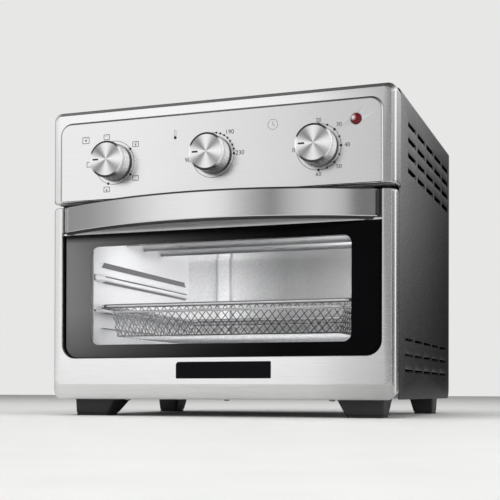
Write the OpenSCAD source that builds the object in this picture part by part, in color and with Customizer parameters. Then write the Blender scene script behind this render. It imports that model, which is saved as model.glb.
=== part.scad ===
// Toaster-oven style air fryer of about 20 litres, in millimetres.
// +Z is up and the front faces -Y. The origin is on the counter, under the middle of the
// whole object's box. Inside the modules, y runs back from the face of the door and the
// left and right halves are mirrored about x = 0; place() moves the result into the frame.

/* [Body] */
// Overall width of the cabinet
body_w = 368; // [300:1:460]
// Depth from the face of the door to the back edge of the cabinet
body_d = 332; // [280:1:420]
// Height of the cabinet's top above the counter
body_top = 321; // [260:1:400]
// Height of the feet, up to the underside of the cabinet
foot_h = 18; // [8:1:40]
// Thickness of the cabinet and fascia sheet
sheet = 1.0; // [0.6:0.1:2]
// Outside radius of the two long top folds
top_fold_r = 5; // [2:0.5:15]

/* [Front] */
// Height of the door's upper edge above the counter
door_top = 219.3; // [160:0.1:300]
// Height of the control fascia's lower edge above the counter
fascia_bottom = 223.8; // [165:0.1:305]
// Width of the slope down both sides of the front
bevel_side = 4; // [2:0.5:12]
// Height of the slope along the foot of the door
bevel_bottom = 15; // [4:0.5:25]
// Height of the slope along the top of the fascia
bevel_top = 5; // [2:0.5:12]
// How far the slopes run back
bevel_depth = 6; // [2:0.5:12]
// How far back the door's folded edge runs
door_flange = 17; // [10:0.5:25]
// How far the fascia's centre panel stands forward
panel_raise = 1.8; // [0:0.1:4]
// Width of the flat border left and right of the raised panel
panel_margin = 13.5; // [8:0.5:30]

/* [Door] */
// Half width of the opening in the stainless door frame
opening_half = 171; // [120:0.5:220]
// Height of the lower edge of that opening
opening_bottom = 60.2; // [40:0.1:90]
// Radius of the two lower corners of that opening
opening_r = 15; // [3:0.5:30]
// Height where the outer glass ends and the top rail begins
glass_top = 190; // [150:0.5:280]
// Half width of the opening in the door's inner panel
window_half = 148; // [100:0.5:200]
// Lower edge of that opening
window_bottom = 73.5; // [60:0.5:120]
// Upper edge of that opening
window_top = 181; // [120:0.5:260]
// Furthest that the bowed handle stands in front of the door
handle_out = 40; // [20:1:60]
// Height of the handle's lower edge
handle_bottom = 193; // [160:0.5:280]
// Half of the handle's length
handle_half = 168; // [100:0.5:220]
// How far the handle sits to the right of the door's middle (negative: to the left)
handle_shift = -2.5; // [-10:0.5:10]
// Distance of the hinge line behind the door's face
hinge_y = 11; // [6:0.5:20]
// Height of the hinge line
hinge_z = 25.5; // [20:0.5:40]
// Radius of the hinge pins
hinge_pin_r = 3; // [2:0.25:6]

/* [Controls] */
// Height of the three dials
dial_z = 262.3; // [230:0.1:300]
// Distance between neighbouring dials
dial_pitch = 109.3; // [60:0.1:140]
// Radius of a knob at its skirt
knob_r = 19; // [12:0.5:30]
// Radius of a knob's brushed cap
knob_cap_r = 16.9; // [10:0.1:28]
// Height of a knob above the fascia
knob_h = 19.5; // [10:0.5:35]
// Radius of the three control shafts
shaft_r = 3; // [2:0.25:5]
// Distance of the indicator lens right of the middle
lens_x = 146.3; // [0:0.1:180]
// Height of the indicator lens
lens_z = 286.5; // [240:0.1:310]
// Radius of the indicator lens
lens_r = 5.2; // [2:0.1:10]

/* [Cooking chamber] */
// Half of the chamber's inside width
cavity_half = 144; // [100:1:200]
// Inside height of the chamber's floor
cavity_bottom = 58; // [45:1:90]
// Inside height of the chamber's ceiling
cavity_top = 206; // [140:1:300]
// Distance of the chamber's back wall behind the door's face
cavity_back = 286; // [200:1:360]
// Radius of the heating tubes
tube_r = 3.6; // [2:0.1:6]
// Height of the upper heating tubes
upper_tube_z = 193; // [120:1:290]
// Height of the lower heating tubes
lower_tube_z = 73; // [60:1:100]
// Height of the shelf rib that carries the basket
shelf_z = 113.5; // [90:0.5:200]

/* [Basket] */
// Half width of the basket's rod rim, to the rod's centre
rim_half = 139; // [90:0.5:190]
// Rim rod radius
rim_r = 2.2; // [1:0.1:4]
// Half width of the wire tub at its top
tub_half = 128; // [80:1:180]
// How much narrower each side of the tub is at its floor
tub_taper = 6; // [0:0.5:20]
// Height of the tub's floor
tub_floor = 84; // [70:0.5:150]
// Front edge of the tub behind the door's face
tub_front = 31; // [25:1:80]
// Back edge of the tub behind the door's face
tub_back = 272; // [120:1:340]
// Spacing of the diamonds in the wire cloth
diamond_pitch = 24; // [16:0.5:40]
// Width of metal left between two diamonds
diamond_web = 2.6; // [1:0.1:5]
// Height of a diamond as a share of its width
diamond_slim = 0.7; // [0.4:0.05:1]
// Thickness of the wire cloth
cloth = 1; // [0.5:0.1:2]

/* [Louvres] */
// Length of one louvre
louvre_len = 44; // [20:1:60]
// Spacing of louvres along a row
louvre_pitch = 53; // [30:0.5:80]
// Spacing of the rows
louvre_row = 15.5; // [10:0.5:30]
// Height of the opening in an upper louvre
louvre_open = 5.5; // [2:0.1:10]
// Height of the opening in a lower louvre
low_louvre_open = 3; // [1:0.1:8]
// Front end of the upper bank of louvres, behind the door's face
upper_louvre_y = 63; // [40:1:120]
// Height of the top edge of the upper bank's first row
upper_louvre_z = 296.5; // [200:0.5:310]
// Front end of the lower bank of louvres, behind the door's face
lower_louvre_y = 49; // [40:1:120]
// Height of the top edge of the lower bank's first row
lower_louvre_z = 79; // [60:0.5:120]

/* [Hidden] */
$fn = 48;
half = body_w/2;
face_y = (handle_out - body_d)/2;
wrap_front = 20;
fascia_flange = 27;
frame_y = 20.5;
back_y = body_d;
panel_half = half - panel_margin;
panel_top = body_top - 16;
dial_x = [-dial_pitch, 0, dial_pitch];
handle_rise = handle_out + 4;
handle_radius = (pow(handle_half, 2) + pow(handle_rise, 2))/(2*handle_rise);
handle_centre_y = handle_radius - handle_out;
fan_y = 160;
fan_case_r = 78;
fan_case_top = 236;
tube_reach = cavity_half + 14;
upper_tube_y = [95, 143, 193];
lower_tube_y = [92, 200];
rim_z = shelf_z + 0.3 + rim_r;
hem_z = rim_z - 6;
hem_r = 1.5;
hem_out = hem_r + 0.05;
strut_tilt = atan2(rim_half - tub_half - hem_out, rim_z - hem_z);
strut_len = norm([rim_half - tub_half - hem_out, rim_z - hem_z]);
bracket_x = 164;
ear_x = 170;
running_gap = 0.05;

outer_wrap();
back_cover();
base_plate();
front_chassis();
mirror([1, 0, 0]) front_foot();  // foot_front_left
front_foot();  // foot_front_right
mirror([1, 0, 0]) rear_foot();  // foot_rear_left
rear_foot();  // foot_rear_right
control_fascia();
control_bracket();
function_switch();
thermostat();
timer_unit();
indicator_lens();
indicator_lamp();
mirror([1, 0, 0]) cavity_side_wall();  // cavity_left_wall
cavity_side_wall();  // cavity_right_wall
cavity_back_wall();
cavity_roof();
cavity_floor();
heater(upper_tube_y[0], upper_tube_z);  // upper_heater_front
heater(upper_tube_y[1], upper_tube_z);  // upper_heater_middle
heater(upper_tube_y[2], upper_tube_z);  // upper_heater_rear
heater(lower_tube_y[0], lower_tube_z);  // lower_heater_front
heater(lower_tube_y[1], lower_tube_z);  // lower_heater_rear
heater_ceramics();
fan_case();
fan_motor();
motor_coil();
hinge_brackets();
hinge_pins();
cabinet_screws();
door_frame();
door_glass();
door_inner_panel();
door_inner_glass();
door_seal();
door_top_rail();
door_trim_strip();
handle_band();
handle_liner();
badge_plate();
knob(dial_x[0]);  // function_knob
knob(dial_x[1]);  // temperature_knob
knob(dial_x[2]);  // timer_knob
control_shaft(dial_x[0]);  // function_shaft
control_shaft(dial_x[1]);  // temperature_shaft
control_shaft(dial_x[2]);  // timer_shaft
convection_fan();
motor_shaft();
cooling_fan();
basket_tub();
basket_rim();
crumb_tray();

// ---- helpers ----

// Moves a piece from door-face coordinates into the object's frame.
module place() {
  translate([0, face_y, 0]) children();
}

// Extrudes a front-view outline (x, z) from y0 back to y1.
module slab(y0, y1) {
  translate([0, y1, 0]) rotate([90, 0, 0]) linear_extrude(y1 - y0) children();
}

// A round bar along Y.
module bar_y(x, z, r, y0, y1) {
  translate([x, y0, z]) rotate([-90, 0, 0]) cylinder(r = r, h = y1 - y0);
}

// A round bar along X.
module bar_x(y, z, r, x0, x1) {
  translate([x0, y, z]) rotate([0, 90, 0]) cylinder(r = r, h = x1 - x0);
}

// A round bar along Z.
module bar_z(x, y, r, z0, z1) {
  translate([x, y, z0]) cylinder(r = r, h = z1 - z0);
}

// A box given by its two corners.
module block(x0, y0, z0, x1, y1, z1) {
  translate([x0, y0, z0]) cube([x1 - x0, y1 - y0, z1 - z0]);
}

// Points of a quarter turn about (cx, cy), from angle a.
function quarter(cx, cy, r, a, steps = 6) =
  [for (i = [0:steps]) [cx + r*cos(a + 90*i/steps), cy + r*sin(a + 90*i/steps)]];

// A rectangle with radius low on its two lower corners and high on its two upper ones.
module rounded(x0, y0, x1, y1, low, high) {
  polygon(concat(
    quarter(x1 - high, y1 - high, high, 0),
    quarter(x0 + high, y1 - high, high, 90),
    quarter(x0 + low, y0 + low, low, 180),
    quarter(x1 - low, y0 + low, low, 270)));
}

module both_sides() {
  children();
  mirror([1, 0, 0]) children();
}

// ---- cabinet ----

module wrap_outline(inset, z0) {
  rounded(-half + inset, z0, half - inset, body_top - inset, 0.01, top_fold_r - inset);
}

// One louvre slot, cut right through both side sheets.
module louvre_slot(y, z, opening) {
  block(-half - 1, y, z - opening, half + 1, y + louvre_len, z);
}

// The flap that is pressed inwards below a louvre's slot.
module louvre_lip(y, z, reach) {
  side = [[half - sheet - reach, z + 0.8], [half - sheet, z - 2.4],
    [half - sheet + 0.4, z - 1.6], [half - sheet - reach + 0.6, z + 1.4]];
  translate([0, y + louvre_len, 0]) rotate([90, 0, 0]) linear_extrude(louvre_len) polygon(side);
}

module outer_wrap() color([0.09, 0.09, 0.1]) place() {
  difference() {
    slab(wrap_front, back_y) wrap_outline(0, foot_h);
    slab(wrap_front - 1, back_y + 1) wrap_outline(sheet, foot_h - 5);
    // room for the fascia's folded edge
    block(-half - 1, wrap_front - 1, fascia_bottom - 1.5, half + 1, fascia_flange, body_top + 1);
    // rounded lower corner at the back of both sides
    difference() {
      block(-half - 1, back_y - 12, foot_h - 1, half + 1, back_y + 1, foot_h + 12);
      bar_x(back_y - 12, foot_h + 12, 12, -half - 2, half + 2);
    }
    for (row = [0:3], col = [0:4])
      louvre_slot(upper_louvre_y + col*louvre_pitch, upper_louvre_z - row*louvre_row, louvre_open);
    for (row = [0:2], col = [0:4])
      louvre_slot(lower_louvre_y + col*louvre_pitch, lower_louvre_z - row*louvre_row, low_louvre_open);
  }
  both_sides() {
    for (row = [0:3], col = [0:4])
      louvre_lip(upper_louvre_y + col*louvre_pitch,
        upper_louvre_z - louvre_open - row*louvre_row, 3);
    for (row = [0:2], col = [0:4])
      louvre_lip(lower_louvre_y + col*louvre_pitch,
        lower_louvre_z - low_louvre_open - row*louvre_row, 2);
  }
}

module back_cover() color([0.11, 0.11, 0.12]) place() difference() {
  slab(back_y - 14, back_y - 3)
    rounded(-half + sheet, foot_h + 2, half - sheet, body_top - sheet, 0.01, top_fold_r - sheet);
  slab(back_y - 15, back_y - 3 - sheet)
    rounded(-half + 2*sheet, foot_h + 3, half - 2*sheet, body_top - 2*sheet, 0.01, 3);
  // two banks of cooling slots and the outlet slots above them
  for (side = [-1, 1], i = [0:7])
    block(side*95 - 32, back_y - 6, 100 + i*14, side*95 + 32, back_y, 104 + i*14);
  for (i = [0:3])
    block(-60, back_y - 6, 252 + i*12, 60, back_y, 256 + i*12);
  for (x = [-170, 170], z = [40, 170, 300])
    bar_y(x, z, 1.6, back_y - 6, back_y);
}

module base_plate() color([0.45, 0.46, 0.47]) place() difference() {
  union() {
    block(-half + sheet, 22, foot_h + 1, half - sheet, back_y - 5, foot_h + 1 + sheet);
    block(-half + sheet, 22, foot_h + 1, half - sheet, 23, foot_h + 12);
  }
  for (row = [0:4], col = [0:5])
    block(-117 + col*42, 110 + row*24, foot_h, -93 + col*42, 114 + row*24, foot_h + 3);
  // notches for the hinge brackets
  both_sides() block(bracket_x - 1, 21, foot_h + 2.2, bracket_x + 5, 24, foot_h + 13);
}

// The upright sheet behind the door, with the mouth of the cooking chamber.
module front_chassis() color([0.62, 0.63, 0.64]) place() difference() {
  union() {
    slab(frame_y, frame_y + sheet) rounded(-half + 1.2, foot_h + 13, half - 1.2, 221, 0.01, 3);
    // the lip that the seal closes on
    slab(frame_y - 0.8, frame_y + 0.5)
      rounded(-cavity_half - 16, cavity_bottom - 12, cavity_half + 16, cavity_top + 6, 10, 6);
  }
  slab(frame_y - 3, frame_y + 3)
    rounded(-cavity_half, cavity_bottom, cavity_half, cavity_top, 4, 4);
  for (x = [-half + 9, half - 9], z = [60, 200])
    bar_y(x, z, 1.7, frame_y - 2, frame_y + 3);
}

// Tapered foot: the inner and rear faces slope, the outer and front ones are nearly upright.
module foot(outer_x, top_w, bottom_w, top_y, bottom_y) {
  hull() {
    block(outer_x - top_w, top_y[0], foot_h - 0.5, outer_x, top_y[1], foot_h + 1);
    block(outer_x - 1 - bottom_w, bottom_y[0], 0, outer_x - 1, bottom_y[1], 0.5);
  }
}

module front_foot() color([0.04, 0.04, 0.045]) place()
  foot(half - 15.6, 47.8, 37, [24, 66], [25, 50]);

module rear_foot() color([0.04, 0.04, 0.045]) place()
  foot(half - 8, 28, 22, [262, 296], [266, 294]);

module cabinet_screws() color([0.7, 0.7, 0.72]) place() {
  for (x = [-170, 170], z = [40, 170, 300]) {
    bar_y(x, z, 1.55, back_y - 12, back_y - 2.9);
    bar_y(x, z, 3.2, back_y - 3, back_y - 1.2);
  }
  for (x = [-half + 9, half - 9], z = [60, 200]) {
    bar_y(x, z, 1.65, frame_y + 0.1, frame_y + 9);
    bar_y(x, z, 3.0, frame_y - 1.4, frame_y);
  }
}

// ---- fascia and controls ----

module fascia_form(inset) {
  hull() {
    slab(inset, inset + 0.1)
      rounded(-half + bevel_side + inset/2, fascia_bottom + inset, half - bevel_side - inset/2,
        body_top - bevel_top - inset/2, 2.5, 6);
    slab(bevel_depth + inset/2, fascia_flange + (inset > 0 ? 2 : 0))
      rounded(-half + inset, fascia_bottom + inset, half - inset, body_top - inset, 3.5, 9 - inset);
  }
}

module panel_outline(grow) {
  polygon(concat(
    quarter(panel_half + grow - 11, panel_top + grow - 11, 11, 0),
    quarter(-panel_half - grow + 11, panel_top + grow - 11, 11, 90),
    [[-panel_half - grow, fascia_bottom], [panel_half + grow, fascia_bottom]]));
}

module control_fascia() color([0.84, 0.84, 0.85]) place() difference() {
  union() {
    difference() {
      fascia_form(0);
      fascia_form(sheet);
    }
    slab(-panel_raise, 0.5) panel_outline(0);
  }
  slab(-panel_raise + sheet, 3) panel_outline(-sheet);
  for (x = dial_x) bar_y(x, dial_z, shaft_r + 0.5, -5, 5);
  bar_y(lens_x, lens_z, 4, -5, 5);
}

module control_bracket() color([0.62, 0.63, 0.64]) place() difference() {
  union() {
    block(-half + 8, 14, 228, half - 8, 15.2, 300);
    block(-half + 8, 14, 300, half - 8, 26, 301.2);
    for (x = [-half + 8, half - 9.2]) block(x, 14, 228, x + 1.2, 26, 300.5);
  }
  for (x = dial_x) bar_y(x, dial_z, 5, 10, 20);
  bar_y(lens_x, lens_z, 6, 10, 20);
}

module function_switch() color([0.9, 0.88, 0.82]) place() difference() {
  union() {
    bar_y(dial_x[0], dial_z, 4.8, 8, 16);
    bar_y(dial_x[0], dial_z, 16, 15.3, 33);
    for (a = [0:60:300])
      translate([dial_x[0], 0, dial_z]) rotate([0, a, 0]) block(-2.5, 33, 9, 2.5, 39, 10);
  }
  bar_y(dial_x[0], dial_z, shaft_r + running_gap, 5, 28);
}

module thermostat() color([0.74, 0.74, 0.75]) place() difference() {
  union() {
    bar_y(dial_x[1], dial_z, 4.8, 8, 16);
    block(-17, 15.3, dial_z - 14, 17, 19, dial_z + 14);
    bar_y(dial_x[1], dial_z, 12, 18.8, 36);
    block(-6, 18.8, dial_z + 8, 6, 30, dial_z + 18);
  }
  bar_y(dial_x[1], dial_z, shaft_r + running_gap, 5, 30);
}

module timer_unit() color([0.86, 0.86, 0.84]) place() difference() {
  union() {
    bar_y(dial_x[2], dial_z, 4.8, 8, 16);
    block(dial_x[2] - 21, 15.3, dial_z - 19, dial_x[2] + 21, 42, dial_z + 19);
    bar_y(dial_x[2] + 6, dial_z + 4, 13, 41.9, 52);
  }
  bar_y(dial_x[2], dial_z, shaft_r + running_gap, 5, 36);
}

module indicator_lens() color([0.45, 0.03, 0.05]) place() {
  translate([lens_x, -panel_raise, lens_z]) rotate([90, 0, 0]) rotate_extrude()
    polygon([[0, -6], [3.9, -6], [3.9, 0], [lens_r, 0], [lens_r, 0.8], [4.4, 1.7], [2.6, 2.4], [0, 2.7]]);
}

module indicator_lamp() color([0.9, 0.85, 0.75]) place() {
  bar_y(lens_x, lens_z, 3.4, 4.3, 15);
}

// A turned knob: skirt, groove under the cap, slightly dished brushed face.
module knob(x) color([0.78, 0.78, 0.8]) place() difference() {
  translate([x, -panel_raise - 0.6, dial_z]) rotate([90, 0, 0]) rotate_extrude()
    polygon([[0, 0], [knob_r - 1, 0], [knob_r, 1], [knob_r, 3.2], [knob_r - 0.7, 4],
      [knob_cap_r + 0.5, knob_h - 3.4], [knob_cap_r - 0.2, knob_h - 3.2], [knob_cap_r - 0.2, knob_h - 2.4],
      [knob_cap_r + 0.3, knob_h - 2.2], [knob_cap_r + 0.1, knob_h - 0.8],
      [knob_cap_r - 0.9, knob_h], [0, knob_h]]);
  // pointer line, at nine o'clock
  translate([x - knob_cap_r + 2.2, -panel_raise - knob_h - 1, dial_z - 0.6]) cube([5.5, 1, 1.2]);
  bar_y(x, dial_z, shaft_r, -panel_raise - 11, 0);
}

module control_shaft(x) color([0.75, 0.75, 0.77]) place() {
  bar_y(x, dial_z, shaft_r, -panel_raise - 11, 27);
}

// ---- cooking chamber ----

module shelf_rib(z, height, reach) {
  block(cavity_half - reach, 34, z, cavity_half, cavity_back - 8, z + height);
}

module cavity_side_wall() color([0.8, 0.81, 0.82]) place() difference() {
  union() {
    block(cavity_half, frame_y + sheet, cavity_bottom, cavity_half + sheet, cavity_back, cavity_top);
    shelf_rib(shelf_z - 3, 3, 6.2);
    shelf_rib(143, 8, 6);
    shelf_rib(161, 4, 3.5);
    shelf_rib(94, 3, 5);
  }
  // the hollow behind the wide pressed rib
  block(cavity_half - 4.8, 35.2, 144.2, cavity_half + sheet + 1, cavity_back - 9.2, 149.8);
  for (y = upper_tube_y) bar_x(y, upper_tube_z, tube_r, cavity_half - 1, cavity_half + 3);
  for (y = lower_tube_y) bar_x(y, lower_tube_z, tube_r, cavity_half - 1, cavity_half + 3);
}

module cavity_back_wall() color([0.8, 0.81, 0.82]) place() {
  block(-cavity_half - sheet, cavity_back, cavity_bottom - sheet,
    cavity_half + sheet, cavity_back + sheet, cavity_top + sheet);
  both_sides() difference() {
    block(84, cavity_back - 3, cavity_bottom + 14, 104, cavity_back, cavity_top - 10);
    block(85.2, cavity_back - 1.8, cavity_bottom + 15.2, 102.8, cavity_back + 0.01, cavity_top - 11.2);
  }
}

module cavity_roof() color([0.8, 0.81, 0.82]) place() difference() {
  block(-cavity_half - sheet, frame_y + sheet, cavity_top, cavity_half + sheet, cavity_back,
    cavity_top + sheet);
  // rings of air slots under the fan
  for (ring = [0:2], i = [0:11 + 4*ring])
    translate([0, fan_y, cavity_top - 1])
      rotate([0, 0, i*360/(12 + 4*ring)]) translate([18 + 17*ring, -1.8, 0]) cube([12, 3.6, 4]);
}

module cavity_floor() color([0.72, 0.73, 0.74]) place() {
  block(-cavity_half - sheet, frame_y + sheet, cavity_bottom - sheet, cavity_half + sheet,
    cavity_back, cavity_bottom);
}

module heater(y, z) color([0.75, 0.74, 0.72]) place() {
  bar_x(y, z, tube_r, -tube_reach, tube_reach);
}

module heater_ceramics() color([0.92, 0.9, 0.85]) place() both_sides() {
  for (y = upper_tube_y) ceramic(y, upper_tube_z);
  for (y = lower_tube_y) ceramic(y, lower_tube_z);
}

module ceramic(y, z) difference() {
  bar_x(y, z, 6, cavity_half + sheet, tube_reach + 4);
  bar_x(y, z, tube_r, cavity_half - 1, tube_reach);
}

module fan_case() color([0.62, 0.63, 0.64]) place() difference() {
  union() {
    translate([0, fan_y, cavity_top + sheet])
      cylinder(r = fan_case_r, h = fan_case_top - cavity_top - sheet);
    translate([0, fan_y, cavity_top + sheet]) cylinder(r = fan_case_r + 8, h = 1);
  }
  translate([0, fan_y, cavity_top]) cylinder(r = fan_case_r - 1, h = fan_case_top - cavity_top - 1);
  translate([0, fan_y, fan_case_top - 3]) cylinder(r = 4, h = 6);
}

module fan_motor() color([0.5, 0.5, 0.52]) place() difference() {
  union() {
    block(-30, fan_y - 24, 252, 30, fan_y + 34, 272);
    // bearing bridges above and below the core
    for (z = [246, 272]) block(-27, fan_y - 8, z, 27, fan_y + 8, z + 6);
    for (x = [-24, 20]) block(x, fan_y - 3, fan_case_top, x + 4, fan_y + 3, 246.5);
  }
  translate([0, fan_y, 240]) cylinder(r = 2.5 + running_gap, h = 50);
  translate([0, fan_y, 251]) cylinder(r = 15, h = 22);
}

module motor_coil() color([0.55, 0.3, 0.14]) place() difference() {
  block(-21, fan_y + 19, 246, 21, fan_y + 39, 278);
  block(-30.1, fan_y + 10, 251.9, 30.1, fan_y + 34.1, 272.1);
}

module motor_shaft() color([0.75, 0.75, 0.77]) place() {
  translate([0, fan_y, 212]) cylinder(r = 2.5, h = 84);
  translate([0, fan_y, 253]) cylinder(r = 14, h = 18);
}

// Flat radial blades on a disc, bent down at right angles.
module convection_fan() color([0.78, 0.78, 0.8]) place() translate([0, fan_y, 0]) difference() {
  union() {
    translate([0, 0, 229]) cylinder(r = 62, h = 1);
    translate([0, 0, 216]) cylinder(r = 8, h = 14);
    for (i = [0:9]) rotate([0, 0, 36*i]) translate([20, -0.5, 213]) cube([41, 1, 16.5]);
  }
  translate([0, 0, 210]) cylinder(r = 2.5, h = 30);
}

module cooling_fan() color([0.75, 0.75, 0.77]) place() translate([0, fan_y, 0]) difference() {
  union() {
    translate([0, 0, 284]) cylinder(r = 9, h = 8);
    for (i = [0:4]) rotate([0, 0, 72*i]) translate([7, 0, 288]) rotate([24, 0, 0])
      translate([0, -7, -0.5]) cube([28, 14, 1]);
  }
  translate([0, 0, 280]) cylinder(r = 2.5, h = 20);
}

// ---- hinges ----

module hinge_brackets() color([0.62, 0.63, 0.64]) place() both_sides() difference() {
  union() {
    bar_x(hinge_y, hinge_z, 4.5, bracket_x, bracket_x + 4);
    block(bracket_x, hinge_y, hinge_z - 4.5, bracket_x + 4, 32, hinge_z + 4.5);
    block(bracket_x, 24, foot_h + 2, bracket_x + 4, 32, 60);
  }
  bar_x(hinge_y, hinge_z, hinge_pin_r, bracket_x - 1, bracket_x + 6);
}

module hinge_pins() color([0.7, 0.7, 0.72]) place() both_sides() {
  bar_x(hinge_y, hinge_z, hinge_pin_r, bracket_x - 1, ear_x + 5);
  bar_x(hinge_y, hinge_z, hinge_pin_r + 1.4, bracket_x - 2.4, bracket_x - 0.01);
}

// ---- door ----

module door_form(inset) {
  hull() {
    slab(inset, inset + 0.1)
      rounded(-half + bevel_side + inset/2, foot_h - 0.5 + bevel_bottom + inset/2,
        half - bevel_side - inset/2, door_top - inset, 5, 3);
    slab(bevel_depth + inset/2, door_flange + (inset > 0 ? 2 : 0))
      rounded(-half + inset, foot_h - 0.5 + inset, half - inset, door_top - inset, 9 - inset, 4);
  }
}

module opening_outline(grow) {
  polygon(concat(
    [[opening_half + grow, door_top + 5], [-opening_half - grow, door_top + 5]],
    quarter(-opening_half + opening_r, opening_bottom + opening_r, opening_r + grow, 180),
    quarter(opening_half - opening_r, opening_bottom + opening_r, opening_r + grow, 270)));
}

module door_frame() color([0.88, 0.88, 0.89]) place() difference() {
  union() {
    difference() {
      door_form(0);
      door_form(sheet);
    }
    // the opening's edge is turned back
    intersection() {
      slab(0.5, 4.4) opening_outline(sheet);
      door_form(0);
    }
  }
  slab(-1, 30) opening_outline(0);
  // the lower fold stops short of the hinge's swing
  block(-half - 1, hinge_y + 1, foot_h - 2, half + 1, door_flange + 1, foot_h + 4);
  both_sides() block(bracket_x - 3, 7.2, foot_h - 2, bracket_x + 6.5, 20, foot_h + 4);
}

module door_glass() color([0.05, 0.05, 0.055, 0.45]) place()
  slab(4.6, 8.6) rounded(-opening_half + 2.5, opening_bottom + 0.6, opening_half - 2.5, glass_top,
    opening_r - 2, 0.6);

module door_inner_panel() color([0.05, 0.05, 0.055]) place() difference() {
  union() {
    slab(8.7, door_flange - 1) rounded(-half + 5, 38, half - 5, door_top - 2, 6, 3);
    // ears that swing on the hinge pins
    both_sides() {
      block(ear_x, hinge_y - 4, hinge_z, ear_x + 3, door_flange - 1, 38.5);
      bar_x(hinge_y, hinge_z, 5, ear_x, ear_x + 3);
    }
  }
  slab(5, 20) rounded(-window_half, window_bottom, window_half, window_top, 9, 9);
  // groove that holds the inner glass
  slab(12, 15.2) rounded(-window_half - 4, window_bottom - 5, window_half + 4, window_top + 6, 9, 9);
  both_sides() bar_x(hinge_y, hinge_z, hinge_pin_r + running_gap, ear_x - 1, ear_x + 5);
}

module door_inner_glass() color([0.75, 0.78, 0.78, 0.3]) place()
  slab(12.1, 15.1) rounded(-window_half - 3.8, window_bottom - 4.8, window_half + 3.8,
    window_top + 5.8, 8.8, 8.8);

module door_seal() color([0.12, 0.12, 0.12]) place() difference() {
  slab(door_flange - 1, frame_y - 1.1)
    rounded(-cavity_half - 12, cavity_bottom - 8, cavity_half + 12, cavity_top + 4, 10, 6);
  slab(door_flange - 3, frame_y + 1)
    rounded(-cavity_half - 6, cavity_bottom - 3, cavity_half + 6, cavity_top - 1, 7, 4);
}

module door_top_rail() color([0.07, 0.07, 0.075]) place()
  slab(4.2, 8.6) rounded(-opening_half + 0.3, glass_top + 1.9, opening_half - 0.3, door_top - 0.4, 0.6, 1.5);

module door_trim_strip() color([0.85, 0.85, 0.86]) place()
  block(-opening_half + 0.4, 3.2, glass_top + 0.1, opening_half - 0.4, 8.6, glass_top + 1.8);

// Plan of the bowed handle: the part of a disc in front of the door's rail.
module handle_plan(inset) {
  intersection() {
    translate([0, handle_centre_y]) circle(r = handle_radius - inset, $fn = 240);
    translate([-handle_half + inset, -handle_out - 5])
      square([2*(handle_half - inset), handle_out + 9]);
  }
}

// The band's plan without its ends, opened towards the door.
module handle_hollow(wall, end) {
  intersection() {
    translate([0, handle_centre_y]) circle(r = handle_radius - wall, $fn = 240);
    translate([-handle_half + end, -handle_out - 5]) square([2*(handle_half - end), handle_out + 20]);
  }
}

module handle_band() color([0.8, 0.8, 0.82]) place() translate([handle_shift, 0, 0]) difference() {
  translate([0, 0, handle_bottom]) linear_extrude(door_top - handle_bottom) handle_plan(0);
  translate([0, 0, handle_bottom - 1]) linear_extrude(60) handle_hollow(1.6, 1.6);
}

// Black core of the handle: a lip below the band, a closed floor and a finger pocket open above.
module handle_liner() color([0.06, 0.06, 0.065]) place() translate([handle_shift, 0, 0]) difference() {
  union() {
    translate([0, 0, handle_bottom - 2]) linear_extrude(door_top - handle_bottom - 0.5) handle_plan(1.7);
    translate([0, 0, handle_bottom - 2.4]) linear_extrude(1) handle_plan(3);
  }
  // clear of the bright strip along the top of the glass
  block(-handle_half - 1, 3.1, handle_bottom - 5, handle_half + 1, 10, glass_top + 2);
  translate([0, 0, handle_bottom + 3]) linear_extrude(60) intersection() {
    handle_hollow(4.5, 22);
    translate([-handle_half, -handle_out - 5]) square([2*handle_half, handle_out + 7]);
  }
}

module badge_plate() color([0.03, 0.03, 0.03]) place()
  slab(-0.6, 0) rounded(-40.5, 38.6, 60.7, 55.6, 0.8, 0.8);

// ---- basket and tray ----

// Rows of diamonds over a w by h rectangle, set off by half a pitch in every second row.
module diamonds(w, h) {
  step = diamond_pitch/2;
  size = diamond_pitch - diamond_web*sqrt(2);
  cols = floor((w - diamond_pitch)/step);
  rows = floor((h/diamond_slim - diamond_pitch)/step);
  for (i = [0:cols], j = [0:rows])
    if ((i + j)%2 == 0)
      translate([(i - cols/2)*step, (j - rows/2)*step*diamond_slim])
        polygon([[-size/2, 0], [0, -size*diamond_slim/2], [size/2, 0], [0, size*diamond_slim/2]]);
}

// A wall of wire cloth, narrower at the floor than at the hem.
module tub_wall(top_len, floor_len, height) {
  linear_extrude(cloth) difference() {
    polygon([[-floor_len/2, 0], [floor_len/2, 0], [top_len/2, height], [-top_len/2, height]]);
    translate([0, height/2]) diamonds(floor_len - 4, height - 1);
  }
}

module basket_tub() color([0.75, 0.75, 0.76]) place() {
  mid = (tub_front + tub_back)/2;
  length = tub_back - tub_front;
  floor_half = tub_half - tub_taper;
  height = hem_z - tub_floor;
  lean = atan(tub_taper/height);
  // each sheet ends half-way into its neighbour's thickness
  translate([0, mid, tub_floor + 0.1]) linear_extrude(cloth) difference() {
    square([2*floor_half - cloth, length - cloth], center = true);
    diamonds(2*floor_half - 6, length - 6);
  }
  for (y = [tub_front + cloth, tub_back])
    translate([0, y, tub_floor]) rotate([90, 0, 0])
      tub_wall(2*tub_half - cloth, 2*floor_half - cloth, height);
  both_sides() translate([floor_half, mid, tub_floor - 0.2]) rotate([0, lean, 0])
    rotate([90, 0, 90]) translate([0, 0, -cloth])
      tub_wall(length - cloth, length - cloth, height/cos(lean));
}

// A closed rectangle of rod with bent corners.
module rod_loop(x, y0, y1, z, r, bend = 9) {
  for (y = [y0, y1]) bar_x(y, z, r, -x + bend, x - bend);
  both_sides() {
    bar_y(x, z, r, y0 + bend, y1 - bend);
    translate([x - bend, y1 - bend, z]) rotate_extrude(angle = 90) translate([bend, 0]) circle(r);
    translate([x - bend, y0 + bend, z]) rotate([0, 0, -90]) rotate_extrude(angle = 90)
      translate([bend, 0]) circle(r);
  }
}

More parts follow.
